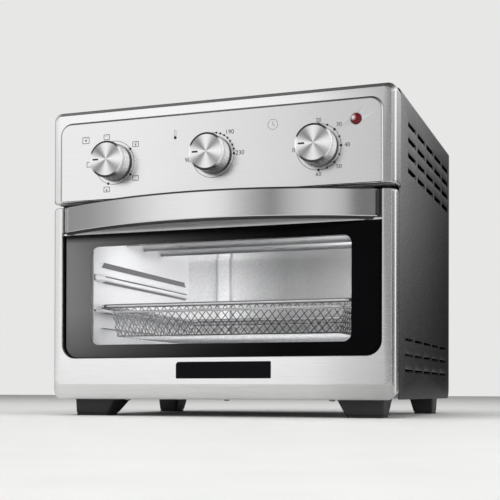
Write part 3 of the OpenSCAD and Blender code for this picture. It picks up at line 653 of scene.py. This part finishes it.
def cabinet():
    s = Shell()
    holes = [rrect(y, z - h, y + LOUVRE_LEN, z, min(1.4, h / 2 - 0.05), n=4)
             for y, z, h in UPPER_LOUVRES + LOWER_LOUVRES]
    for side in (-1, 1):
        s.region(side_outline(), holes, lambda y, z, side=side: (side * HALF, y, z))
    fold = ([(-HALF, TOP - FOLD_R)] + arc(FOLD_R - HALF, TOP - FOLD_R, FOLD_R, 180, 90, 8)[1:]
            + arc(HALF - FOLD_R, TOP - FOLD_R, FOLD_R, 90, 0, 8))
    s.grid([raised(fold, y) for y in (FOLD_Y, BACK_Y)])
    s.build("cabinet_cover", "housing", PAINT, "black_coated_steel", ["outer_wrap"],
            thick=1.0, toward=(0, 0, 1))


def louvre_scoops():
    """The metal pressed inwards behind each slot: deep at its front end, closed at its rear."""
    s = Shell()
    for y, z, h in UPPER_LOUVRES + LOWER_LOUVRES:
        deep = 5.0 if h > 4 else 3.2
        for side in (-1, 1):
            rows = []
            for v in range(5):
                lift = v / 4
                row = []
                for u in range(13):
                    t = u / 12
                    past = max(0.0, (t - SCOOP_CLOSES) / (1 - SCOOP_CLOSES))
                    end = math.sqrt(max(1 - past ** 2, 0))
                    begin = min(1.0, t / SCOOP_OPENS)
                    reach = deep * lift ** 0.7 * end * begin
                    row.append((side * (HALF - 1.0 - reach), y + t * LOUVRE_LEN,
                                z - h - 0.3 + lift * (h * 0.75)))
                rows.append(row)
            s.grid(rows)
    s.build("louvre_scoops", "housing", PAINT, "black_coated_steel", thick=0.7)


# ---- feet ----

# (x0, x1, y0, y1) of each right-hand foot at its top and at its bottom
FEET = {"front": ((120.6, 168.4, 24, 66), (130.4, 167.4, 25, 50)),
        "rear": ((148, 176, 262, 296), (153, 175, 266, 294))}


def foot_piece(end, word, side):
    s = Shell()
    rings = []
    for z, t, grow in [(FOOT + 0.9, 1, 0), (FOOT - 0.6, 1, 0), (FOOT - 1.2, 0.95, -0.4),
                       (9, 0.5, -0.2), (3.2, 0.16, -0.1), (2.4, 0.12, -0.9), (1.9, 0.1, -0.9),
                       (1.5, 0.08, -0.2), (0.5, 0.02, -0.1), (0.1, 0, -0.4), (0.0, 0, -0.9)]:
        x0, x1, y0, y1 = [a * t + b * (1 - t) for a, b in zip(*FEET[end])]
        loop = rrect(x0 - grow, y0 - grow, x1 + grow, y1 + grow, 2.2, n=4)
        rings.append([(side * x, y, z) for x, y in loop])
    s.loft(rings, ends=True)
    s.build(f"{end}_foot_{word}", "housing", FOOT_PLASTIC, "black_foot_plastic",
            [f"foot_{end}_{word}"], sharp=50)


# ---- controls ----

# the pieces of a knob, each spun from a profile: name, look, sharp angle and profile as (radius,
# height)
KNOB_SIDES = 96
KNOB_TURNED = [
    ("skirt", SKIRT, 40, [(0, 0), (18.2, 0), (18.9, 0.2), (19.2, 0.7), (19.3, 1.2), (19.3, 1.9),
                          (19.1, 2.3), (18.7, 2.5), (0, 2.5)]),
    ("barrel", KNOB, 40, [(0, 2.52), (18.7, 2.52), (18.6, 3.4), (18.3, 9.0), (18.15, 12.6),
                          (17.9, 13.0), (17.4, 13.1), (17.4, 13.7), (0, 13.7)]),
    ("rim", RIM, 30, [(0, 13.75), (18.2, 13.75), (18.65, 14.0), (18.75, 14.4), (18.75, 18.2),
                      (18.65, 18.75), (18.35, 19.05), (16.7, 19.38), (16.5, 19.3), (0, 19.1)]),
    ("cap", CAP, 60, [(16.65, 19.15), (16.6, 19.47), (15.2, 19.46), (10.0, 19.40),
                      (5.0, 19.36), (0.4, 19.35)]),
]


def knob_pieces(name, x):
    body, y0 = name + "_dial", PANEL_Y - 0.6
    for part, look, sharp, profile in KNOB_TURNED:
        s = Shell()
        s.spin([(r, y0 - h) for r, h in profile], x, DIAL_Z, KNOB_SIDES)
        s.build(f"{name}_knob_{part}", body, look, "knob_metal",
                [name + "_knob"] if part == "barrel" else (), sharp=sharp)
    m = Shell()
    m.plate(rrect(x - 15.0, DIAL_Z - 0.85, x - 8.6, DIAL_Z + 0.85, 0.6, n=4), [],
            y0 - 19.56, y0 - 19.40)
    m.build(name + "_knob_mark", body, PRINT, "black_gloss_print")


def text_outline(text, size, x, z):
    """The faces of a word as triangles in the front view."""
    curve = bpy.data.curves.new("label", "FONT")
    curve.body = text
    curve.size = size
    curve.align_x, curve.align_y = "CENTER", "CENTER"
    obj = placed("label", curve)
    graph = bpy.context.evaluated_depsgraph_get()
    mesh = bpy.data.meshes.new_from_object(obj.evaluated_get(graph))
    points = [(v.co.x + x, v.co.y + z) for v in mesh.vertices]
    faces = [tuple(p.vertices) for p in mesh.polygons]
    bpy.data.objects.remove(obj)
    bpy.data.curves.remove(curve)
    bpy.data.meshes.remove(mesh)
    return points, faces


SCALE_R = 22.4
SCALE_LINE = 0.45


def scale_print():
    """Rings, dots, numbers and plain symbols printed round the dials."""
    s = Shell()
    y0, y1 = PANEL_Y - 0.07, PANEL_Y + 0.02

    def patch(outer, holes=()):
        s.plate(outer, list(holes), y0, y1)

    def dot(x, z, r):
        patch(circle(x, z, r, 14))

    def polar(x, r, clock):
        a = math.radians(90 - clock)
        return x + r * math.cos(a), DIAL_Z + r * math.sin(a)

    def bar(x, z, w, h, r=0.1):
        patch(rrect(x, z, x + w, z + h, r, n=2))

    def heat_lines(x, z, step, w):
        for i in range(3):
            bar(x + step * i, z, w, 0.4)

    def frame_box(x, z, w, h, line=0.55):
        patch(rrect(x - w / 2, z - h / 2, x + w / 2, z + h / 2, 0.5, n=3),
              [rrect(x - w / 2 + line, z - h / 2 + line, x + w / 2 - line, z + h / 2 - line,
                     0.25, n=3)])

    def write(text, size, x, z):
        points, faces = text_outline(text, size, x, z)
        base = s.ring([(px, y0, pz) for px, pz in points])
        s.faces += [tuple(base[i] for i in f) for f in faces]

    for x in DIALS.values():
        patch(circle(x, DIAL_Z, SCALE_R + 0.25, KNOB_SIDES),
              [circle(x, DIAL_Z, SCALE_R + 0.25 - SCALE_LINE, KNOB_SIDES)])
    # five functions, 72 degrees apart, the first at nine o'clock
    fx, tx, cx = DIALS.values()
    for k in range(5):
        dot(*polar(fx, SCALE_R, 270 + 72 * k), 1.35)
        bx, bz = polar(fx, 29.8 if k in (2, 3) else 28.6, 270 + 72 * k)
        frame_box(bx, bz, 6.9, 5.6)
        if k in (1, 2):
            heat_lines(bx - 1.8, bz + 0.9, 1.3, 0.8)
        if k in (2, 4):
            dot(bx, bz - 0.5, 0.8)
        if k == 3:
            bar(bx - 2, bz + 1.0, 4, 0.35)
            bar(bx - 2, bz - 1.35, 4, 0.35)
        if k == 4:
            bar(bx - 1.6, bz - 1.7, 3.2, 0.3)
    for k in range(8):
        dot(*polar(tx, SCALE_R, 9 + 11.5 * k), 1.35 if k == 7 else 1.1)
    for label, dx, dz in (("90", -27.2, -3.4), ("190", 17.8, 21.8), ("230", 28.6, 0.4)):
        write(label, 6.2, tx + dx, DIAL_Z + dz)
    for k in range(9):
        dot(*polar(cx, SCALE_R, 22.5 * k), 1.3 if k % 2 == 0 else 1.1)
    for label, clock, r in (("20", 0, 25.8), ("30", 45, 28.6), ("40", 90, 28.4),
                            ("50", 135, 28.6), ("60", 180, 26.4)):
        write(label, 5.7, *polar(cx, r, clock))
    write("0", 5.7, cx - 25.2, DIAL_Z - 1.6)

    # oven box, thermometer and clock symbols beside the dials
    bx, bz = fx - 33.0, DIAL_Z + 25.6
    frame_box(bx, bz, 8.0, 7.0)
    dot(bx, bz - 0.4, 0.95)
    heat_lines(bx - 2.0, bz + 1.5, 1.5, 1.0)
    hx, hz = tx - 41.0, DIAL_Z + 24.0
    patch(rrect(hx - 1.1, hz - 2.2, hx + 1.1, hz + 4.4, 1.05, n=4),
          [rrect(hx - 0.8, hz - 1.8, hx + 0.8, hz + 4.1, 0.75, n=4)])
    dot(hx, hz - 3.4, 1.6)
    kx, kz = cx - 46.5, DIAL_Z + 25.6
    for i in range(14):
        a0, a1 = 360 / 14 * i, 360 / 14 * i + 16
        patch(arc(kx, kz, 5.3, a0, a1, 4) + list(reversed(arc(kx, kz, 4.8, a0, a1, 4))))
    bar(kx - 0.2, kz - 0.2, 0.4, 3.0, 0.15)
    patch([(kx, kz + 0.2), (kx + 2.2, kz - 1.4), (kx + 2.0, kz - 1.7), (kx - 0.2, kz - 0.15)])
    s.build("dial_scales", "housing", PRINT, "black_gloss_print", flat=True)


def indicator():
    s = Shell()
    (x, z), y = LENS, PANEL_Y
    s.spin([(0, y + 5), (3.8, y + 5), (3.8, y + 0.1), (5.0, y - 0.1), (5.2, y - 0.5),
            (5.15, y - 0.95), (4.9, y - 1.35), (4.2, y - 1.95), (3.2, y - 2.4),
            (2.0, y - 2.62), (0.0, y - 2.7)], x, z, 48)
    s.build("indicator_red_lens", "housing", RED, "red_lens", ["indicator_lens"], sharp=60)
    r = Shell()
    r.spin([(5.3, y + 0.02), (6.1, y + 0.02), (6.05, y - 0.18), (5.8, y - 0.3), (5.45, y - 0.25),
            (5.3, y - 0.05)], x, z, 48)
    r.faces = r.faces[:-2]
    r.build("indicator_bezel", "housing", STEEL, "stainless_front", sharp=60)


# ---- door ----

def door_glazing():
    """The outer pane: a black printed border round a clear window."""
    def loop(d):
        return rrect(-168.5 + d, 60.8 + d, 168.5 - d, 190 - d, 13 - d, max(0.7 - d, 0.1), 10)

    def window(g):
        return rrect(-140.5 + g, 74.2 + g, 140.5 - g, 177.3 - g, 8.5 - g, 8.5 - g, 10)

    s = Shell()
    s.loft([raised(loop(d), y) for d, y in
            [(0.5, 4.6), (0.15, 4.75), (0, 5.1), (0, 8.1), (0.15, 8.45), (0.5, 8.6)]])
    s.region(loop(0.5), [window(0)], front(4.6))
    s.region(loop(0.5), [window(0)], front(8.6))
    s.loft([raised(window(0), 4.6), raised(window(0), 8.6)])
    s.build("door_glass_border", "door", BORDER, "tinted_door_glass", ["door_glass"], sharp=50)
    w = Shell()
    w.region(window(0.05), [], front(4.62))
    w.build("door_glass_window", "door", GLASS, "tinted_door_glass")


def handle_station(x, depth):
    """A point on the bow at x, moved depth inwards along the normal."""
    ny = -math.sqrt(1 - (x / HANDLE_R) ** 2)
    return x - depth * x / HANDLE_R + HANDLE_SHIFT, HANDLE_CENTRE + HANDLE_R * ny - depth * ny


def handle():
    stations = [HANDLE_HALF * math.sin(math.radians(90 * k / 24)) for k in range(-24, 25)]

    def sweep(profile, span, name, look, slot, replaces=(), sharp=40):
        s = Shell()
        rings = []
        for x in stations:
            x *= span / HANDLE_HALF
            station = [(*handle_station(x, d), z) for d, z in profile]
            rings.append([(px, min(y, 4.1), z) for px, y, z in station])
        s.loft(rings, ends=True)
        s.build(name, "door", look, slot, replaces, sharp=sharp)

    low, high = 193.0, DOOR_TOP
    band = [(0, low + 1.0), (0.12, low + 0.45), (0.45, low + 0.1), (0.9, low), (1.4, low + 0.1),
            (1.7, low + 0.5), (1.8, low + 1.2), (1.6, low + 2.0), (1.5, high - 2.0),
            (1.45, high - 0.7), (1.1, high - 0.15), (0.7, high), (0.3, high - 0.1),
            (0.05, high - 0.5), (0, high - 1.0)]
    sweep(band, HANDLE_HALF, "handle_bowed_band", HANDLE_STEEL, "polished_handle_steel",
          ["handle_band"])
    lip = [(0.7, 193.6), (0.7, 190.9), (0.9, 190.5), (1.3, 190.4), (2.6, 190.4), (3.0, 190.8),
           (3.0, 220.4), (2.7, 221.0), (2.1, 221.0), (1.75, 220.6), (1.75, 193.6)]
    sweep(lip, 165.5, "handle_black_lip", HANDLE_PLASTIC, "black_handle_plastic",
          ["handle_liner"])
    def shelf(inset, stop, back):
        """The flat outline inset from the bow and closed by a line at the depth back."""
        edge = [handle_station(x * GRIP_HALF / HANDLE_HALF, inset) for x in stations]
        edge = [(x, min(y, stop)) for x, y in edge]
        return edge + [(edge[-1][0], back), (edge[0][0], back)]

    # underside, closed back to the rail
    s = Shell()
    loop, heights = shelf(2.4, 2.9, 3.2), (190.5, 191.7)
    for height in heights:
        s.region(loop, [], lambda x, y, z=height: (x, y, z))
    s.loft([level(loop, z) for z in heights])
    s.build("handle_underside", "door", UNDER_STEEL, "stainless_front", sharp=40)
    e = Shell()
    stop = rrect(165.7, 1.3, 168.5, 4.1, 0.5, n=3)
    e.loft([level(stop, z) for z in (194.0, 218.2)], ends=True)
    e.build("handle_end_stop", "door", HANDLE_PLASTIC, "black_handle_plastic", sharp=50)
    # floor of the pocket behind the band
    g = Shell()
    g.region(shelf(3.0, 3.4, 4.0), [], lambda x, y: (x, y, 196.5))
    g.build("handle_pocket_floor", "door", HANDLE_PLASTIC, "black_handle_plastic", thick=1.0,
            toward=(0, 0, 1))


def badge():
    """A blank plate whose upper left corner has the wider radius."""
    x0, x1, z0, z1 = -40.5, 60.7, 38.6, 55.6
    s = Shell()

    def loop(d, r=0.9, wide=3.4):
        return (arc(x0 + r, z0 + r, r - d, 180, 270, 4) + arc(x1 - r, z0 + r, r - d, 270, 360, 4)
                + arc(x1 - r, z1 - r, r - d, 0, 90, 4)
                + arc(x0 + wide, z1 - wide, wide - d, 90, 180, 6))

    s.loft([raised(loop(d), y) for d, y in
            [(0, 0.05), (0, -0.3), (0.1, -0.48), (0.35, -0.6)]], ends=True)
    s.build("blank_plate", "door", PLATE, "black_gloss_print", ["badge_plate"], sharp=50)


def base_screws():
    """Screw heads under the base plate's front edge."""
    s = Shell()
    for x in (-110.0, 2.0, 114.0):
        s.loft([level(circle(x, 34.0, r, 20), z) for r, z in
                [(0.4, 16.3), (1.0, 15.9), (2.2, 16.0), (3.0, 16.6), (3.2, 17.9)]], ends=True)
    s.build("base_screws", "housing", ZINC, "plated_steel", sharp=50)


# ---- cooking chamber ----

def bumped(value, stops):
    """Piecewise-linear height at value."""
    for (a, ha), (b, hb) in zip(stops, stops[1:]):
        if a <= value <= b:
            return ha + (hb - ha) * (value - a) / (b - a)
    return 0.0


# the lengths over which a rib comes up at its front and goes down at its rear
RIB_RISE, RIB_FALL = 5.0, 7.0
# each rib: where it starts and ends, front to back, how far its upper edge stops short at the
# rear, and its section as (height, reach)
RIBS = [
    (33, 277, 0, [(93, 0), (94, 3.5), (97, 3.5), (98, 0)]),
    (20, 277, 0, [(110, 0), (110.4, 6.2), (111.2, 7.0), (112.6, 7.0), (113.4, 6.2), (113.5, 1.0),
                  (115, 0)]),
    (20, 277, 2, [(142.6, 0), (144.2, 4.8), (145.4, 5.6), (146.6, 4.4), (148.6, 4.4),
                  (149.8, 5.6), (150.6, 4.8), (152.2, 0)]),
    (33, 277, 6, [(159.2, 0), (164.4, 3.4), (165.4, 3.4), (166.4, 0)]),
]
# bands of the ribs' sections that face down or lie in shade, which are given a painted shade
SHADED = [(93, 94), (110, 110.4), (142.6, 144.2), (148.6, 149.8), (159.2, 164.4)]


def side_wall(name, side):
    columns = [21.5, 27, 33, 38, 46] + [60 + 20 * k for k in range(10)] + [262, 270, 277, 286]
    heights = sorted({z for rib in RIBS for z, _ in rib[3]}
                     | {CAVITY_LOW, 70, 80, 88, 102, 120, 128, 136, 156, 175, 185, 195,
                        CAVITY_HIGH})
    rows = []
    for z in heights:
        reach, short = 0.0, 0.0
        start, end = 0, 400
        for y0, y1, cut, section in RIBS:
            low, high = section[0][0], section[-1][0]
            if low <= z <= high:
                reach, short = bumped(z, section), cut * (z - low) / (high - low)
                start, end = y0, y1
        row = []
        for y in columns:
            rise = min(max((y - start) / RIB_RISE, 0.0), max((end - y) / RIB_FALL, 0.0), 1.0)
            back = short if y in (270, 277) else 0.0
            row.append((side * (CAVITY - reach * rise), y - back, z))
        rows.append(row)
    s = Shell()
    s.grid(rows)
    s.build("chamber_wall_" + name, "housing", CAVITY_STEEL, "bright_cavity_steel",
            [f"cavity_{name}_wall"], thick=0.8, toward=(-side, 0, 0), sharp=50,
            # faces in the shaded bands along the rails take the painted shade
            others=[(PAINTED_SHADE_FACE, lambda x, y, z: 36 < y < 275 and any(
                low < z < high for low, high in SHADED))])


def back_wall():
    stops = [(-145, 0), (-105.5, 0), (-103, 3), (-85, 3), (-82.5, 0), (82.5, 0), (85, 3),
             (103, 3), (105.5, 0), (145, 0)]
    ends = [(57, 0), (70, 0), (74, 1), (194, 1), (198, 0), (207, 0)]
    xs = sorted({x for x, _ in stops} | {-104.6, -103.7, -84.3, -83.4, 84.3, 83.4, 104.6, 103.7})
    zs = sorted({z for z, _ in ends} | {71, 72.5, 73.3, 194.7, 195.5, 197})
    s = Shell()
    s.grid([[(x, CAVITY_BACK - bumped(x, stops) * bumped(z, ends), z) for x in xs] for z in zs])
    s.build("chamber_wall_back", "housing", BACK_STEEL, "bright_cavity_steel",
            ["cavity_back_wall"], thick=0.8, toward=(0, -1, 0), sharp=40)


def tube_ferrules():
    """Bright collars where the upper tubes enter the side walls."""
    s = Shell()
    for x in (-CAVITY, CAVITY):
        for y in UPPER_TUBES:
            inwards = -math.copysign(1.0, x)
            s.tube([(x + inwards * reach, y, TUBE_Z) for reach in (0.4, 3.4)], 4.7, 20)
    s.build("heater_tube_ferrules", "housing", CHROME, "plated_steel", sharp=50)


# ---- basket ----

RIM_Z, RIM_HALF = 116.0, 139.0
HEM_Z = 110.0
TUB_FLOOR = 84.4
TUB_TOP_HALF, TUB_LOW_HALF = 128.0, 122.0
TUB_Y0, TUB_Y1 = 31.0, 272.0
# a wire's radius, and how far the two directions stand off the sheet between them
WIRE, WIRE_APART = 0.5, 0.42
CELL_W, CELL_H = 8.6, 10.2


def diagonals(width, height):
    """Clipped diagonal lines over a width by height sheet, in two directions."""
    lines = []
    slope = CELL_H / CELL_W
    count = int((width + height / slope) / CELL_W) + 2
    for sign in (1, -1):
        for k in range(-1, count):
            u0 = k * CELL_W - (height / slope if sign > 0 else 0)
            u1 = u0 + sign * height / slope
            lo, hi = 0.0, 1.0
            du = u1 - u0
            for bound, direction in ((0.0, 1), (width, -1)):
                t = (bound - u0) / du
                if (du > 0) == (direction > 0):
                    lo = max(lo, t)
                else:
                    hi = min(hi, t)
            if hi - lo > 0.03:
                lines.append(((u0 + du * lo, height * lo), (u0 + du * hi, height * hi), sign))
    return lines


def basket():
    # s gathers the wires with the shaded look, and pale those with the lighter copy, which is
    # painted light
    s, pale = Shell(), Shell()

    def cloth(shell, width, height, place):
        for start, end, sign in diagonals(width, height):
            off = WIRE_APART * sign
            shell.tube([place(*start, off), place(*end, off)], WIRE, 5)

    rise = RIM_Z - 1.2 - TUB_FLOOR
    taper = TUB_TOP_HALF - TUB_LOW_HALF
    length = TUB_Y1 - TUB_Y0

    def end_wall(y):
        def place(u, v, off):
            share = v / rise
            half = TUB_LOW_HALF + taper * share
            return ((u / TUB_TOP_HALF - 1) * half, y + off, TUB_FLOOR + v)
        return place

    def side(sign):
        def place(u, v, off):
            share = v / rise
            return (sign * (TUB_LOW_HALF + taper * share) + off, TUB_Y0 + u, TUB_FLOOR + v)
        return place

    cloth(s, 2 * TUB_TOP_HALF, rise, end_wall(TUB_Y0 + 0.5))
    cloth(pale, 2 * TUB_TOP_HALF, rise, end_wall(TUB_Y1 - 0.5))
    for sign in (-1, 1):
        cloth(s, length, rise, side(sign))
    cloth(pale, 2 * TUB_LOW_HALF, length, lambda u, v, off: (u - TUB_LOW_HALF, TUB_Y0 + v,
                                                             TUB_FLOOR + off))
    # selvedge wires along the folds
    for half, z in ((TUB_LOW_HALF, TUB_FLOOR), (TUB_TOP_HALF - 0.6, HEM_Z)):
        loop = level(rrect(-half, TUB_Y0, half, TUB_Y1, 4, n=5), z)
        s.tube(loop, 0.9 if z == HEM_Z else 0.7, 6, closed=True)
    s.build("basket_wire_cloth", "basket", WIRE_CLOTH, "chromed_wire", ["basket_tub"], sharp=80)
    pale.build("basket_floor_cloth", "basket", PAINTED_LIT_CLOTH, "chromed_wire", sharp=80)
    r = Shell()
    r.tube(level(rrect(-RIM_HALF, TUB_Y0 - 6, RIM_HALF, TUB_Y1 + 5, 9, n=8), RIM_Z), 2.2, 14,
           closed=True)
    r.tube(level(rrect(-129, TUB_Y0 - 1, 129, TUB_Y1 + 1, 6, n=6), HEM_Z), 1.5, 10, closed=True)
    for sign in (-1, 1):
        for y in (61, 242):
            r.tube([(sign * TUB_TOP_HALF, y, HEM_Z), (sign * RIM_HALF, y, RIM_Z)], 1.0, 10)
    # the rim rod's faces above and below its middle line take the painted shade, as dark outlines
    r.build("basket_rod_rim", "basket", CHROME, "chromed_wire", ["basket_rim"], sharp=80,
            others=[(PAINTED_SHADE_FACE, lambda x, y, z: abs(z - RIM_Z) > 1.25 and z > HEM_Z + 3)])


# ---- put it together ----

door_skin()
fascia_skin()
cabinet()
louvre_scoops()
for word, side in (("left", -1), ("right", 1)):
    foot_piece("front", word, side)
    foot_piece("rear", word, side)
    side_wall(word, side)
back_wall()
for key, dial_x in DIALS.items():
    knob_pieces(key, dial_x)
scale_print()
indicator()
door_glazing()
handle()
badge()
base_screws()
tube_ferrules()
basket()


# ---- studio ----

FLOOR_HALF = 6
MIRRORED_FLOOR = (0.59, 0.59, 0.58, 1)
BACKDROP = (0.80, 0.80, 0.79, 1)


def studio():
    mesh = bpy.data.meshes.new("studio_floor")
    half = FLOOR_HALF
    mesh.from_pydata([(-half, -half, 0), (half, -half, 0), (half, half, 0), (-half, half, 0)],
                     [], [(0, 1, 2, 3)])
    floor = placed("studio_floor", mesh)
    pale = surface("pale_floor", (0.78, 0.78, 0.77), 0.5, grain=20, vary=0.02,
                   rough_vary=0.03, Specular_IOR_Level=0.2)
    mesh.materials.append(pale)
    # polished faces mirror the floor greyer than it is seen
    tree = pale.node_tree
    colour = tree.nodes["Principled BSDF"].inputs["Base Color"]
    glossy = make(tree, "LightPath").outputs["Is Glossy Ray"]
    tree.links.new(mixed(tree, colour.links[0].from_socket, MIRRORED_FLOOR, "MIX", glossy),
                   colour)

    world = bpy.data.worlds.new("studio")
    bpy.context.scene.world = world
    world.use_nodes = True
    tree = world.node_tree

    # brightness round the horizon, by degrees from straight ahead towards the right
    around = [(-180, 1.0), (-140, 0.8), (-110, 0.4), (-88, 0.34), (-71, 0.39), (-58, 0.54),
              (-47, 0.80), (-36, 0.98), (-21, 1.04), (-12, 0.95), (-6, 0.68), (2, 0.42),
              (7.5, 0.26), (11, 0.46), (16, 0.62), (24, 0.76), (34, 0.60), (38, 0.20),
              (52, 0.22), (66, 1.1), (84, 1.7), (110, 1.4), (150, 1.0), (180, 1.0)]
    ahead = [(0.0, 0.85), (0.5, 0.95), (0.72, 1.0), (0.82, 0.55), (0.9, 0.2), (1.0, 0.10)]
    behind = [(0.0, 0.05), (0.5, 0.03), (0.535, 0.05), (0.57, 0.12), (0.6, 0.28), (0.63, 0.5),
              (0.67, 0.8), (0.75, 0.8), (0.83, 0.35), (0.9, 0.12), (1.0, 0.07)]
    split = make(tree, "SeparateXYZ", {0: make(tree, "TexCoord").outputs["Generated"]})
    turn = maths(tree, "ARCTAN2", split.outputs["X"],
                 maths(tree, "MULTIPLY", split.outputs["Y"], -1.0))
    level = maths(tree, "MULTIPLY_ADD", turn, 1 / (2 * math.pi), 0.5)
    round_value = ramp(tree, level, [(0.5 + a / 360, v) for a, v in around])
    height = maths(tree, "MULTIPLY_ADD", split.outputs["Z"], 0.5, 0.5)
    is_back = mapped(tree, split.outputs["Y"], -0.1, 0.35, interpolation_type="SMOOTHSTEP")
    fade = mixed(tree, ramp(tree, height, ahead), ramp(tree, height, behind), "MIX", is_back)
    # the camera, and anything seen through glass, gets a plain pale backdrop
    path = make(tree, "LightPath")
    plain = maths(tree, "MAXIMUM", path.outputs["Is Camera Ray"],
                  path.outputs["Is Transmission Ray"])
    tree.links.new(mixed(tree, mixed(tree, round_value, fade), BACKDROP, "MIX", plain),
                   tree.nodes["Background"].inputs["Color"])

    def lamp(name, place, aim, size, power):
        """A soft rectangular lamp, in metres and watts, that no surface mirrors."""
        light = bpy.data.lights.new(name, "AREA")
        light.shape = "RECTANGLE"
        light.size, light.size_y = size
        light.energy = power
        obj = placed(name, light)
        obj.location = place
        obj.rotation_euler = (Vector(aim) - Vector(place)).to_track_quat("-Z", "Y").to_euler()
        obj.visible_camera = False
        obj.visible_glossy = False

    lamp("overhead", (-0.3, -0.5, 2.4), (0, 0, 0), (2.4, 2.4), 52)
    lamp("front_fill", (-0.7, -2.2, 0.7), (0, 0, 0.15), (1.6, 1.0), 10)
    lamp("chamber_fill", (0.02, -0.100, 0.199), (0.0, 0.10, 0.10), (0.22, 0.02), 0.48)
    lamp("right_fill", (1.6, -1.0, 0.5), (0, 0, 0.25), (0.8, 0.8), 12)
    lamp("chamber_side", (0.134, 0.07, 0.15), (-0.1, 0.11, 0.14), (0.14, 0.06), 0.56)
    lamp("chamber_low", (0.0, -0.10, 0.062), (0.0, 0.1, 0.09), (0.24, 0.01), 0.10)


# the camera fitted to the photograph, in metres, radians and pixels of a 500 by 500 picture
CAMERA_PLACE = (0.38702, -1.15792, 0.02521)
YAW, PITCH, ROLL = -0.3478, 0.0034, 0.0021
FOCAL, PICTURE = 1080.8632, 500
OPTICAL_CENTRE = (232.003, 388.2145)
SENSOR = 36


def camera():
    ahead = Vector((math.sin(YAW) * math.cos(PITCH), math.cos(YAW) * math.cos(PITCH),
                    math.sin(PITCH)))
    right = Vector((math.cos(YAW), -math.sin(YAW), 0))
    up = right.cross(ahead)
    rolled_right = right * math.cos(ROLL) + up * math.sin(ROLL)
    rolled_up = up * math.cos(ROLL) - right * math.sin(ROLL)
    data = bpy.data.cameras.new("camera")
    cam = placed("camera", data)
    matrix = cam.matrix_world.copy()
    for i in range(3):
        matrix[i] = (rolled_right[i], rolled_up[i], -ahead[i], CAMERA_PLACE[i])
    cam.matrix_world = matrix
    data.sensor_width = SENSOR
    data.lens = FOCAL / PICTURE * SENSOR
    data.shift_x = (PICTURE / 2 - OPTICAL_CENTRE[0]) / PICTURE
    data.shift_y = (OPTICAL_CENTRE[1] - PICTURE / 2) / PICTURE
    data.clip_end = 30
    bpy.context.scene.camera = cam


studio()
camera()
bpy.context.scene.view_settings.view_transform = "Standard"
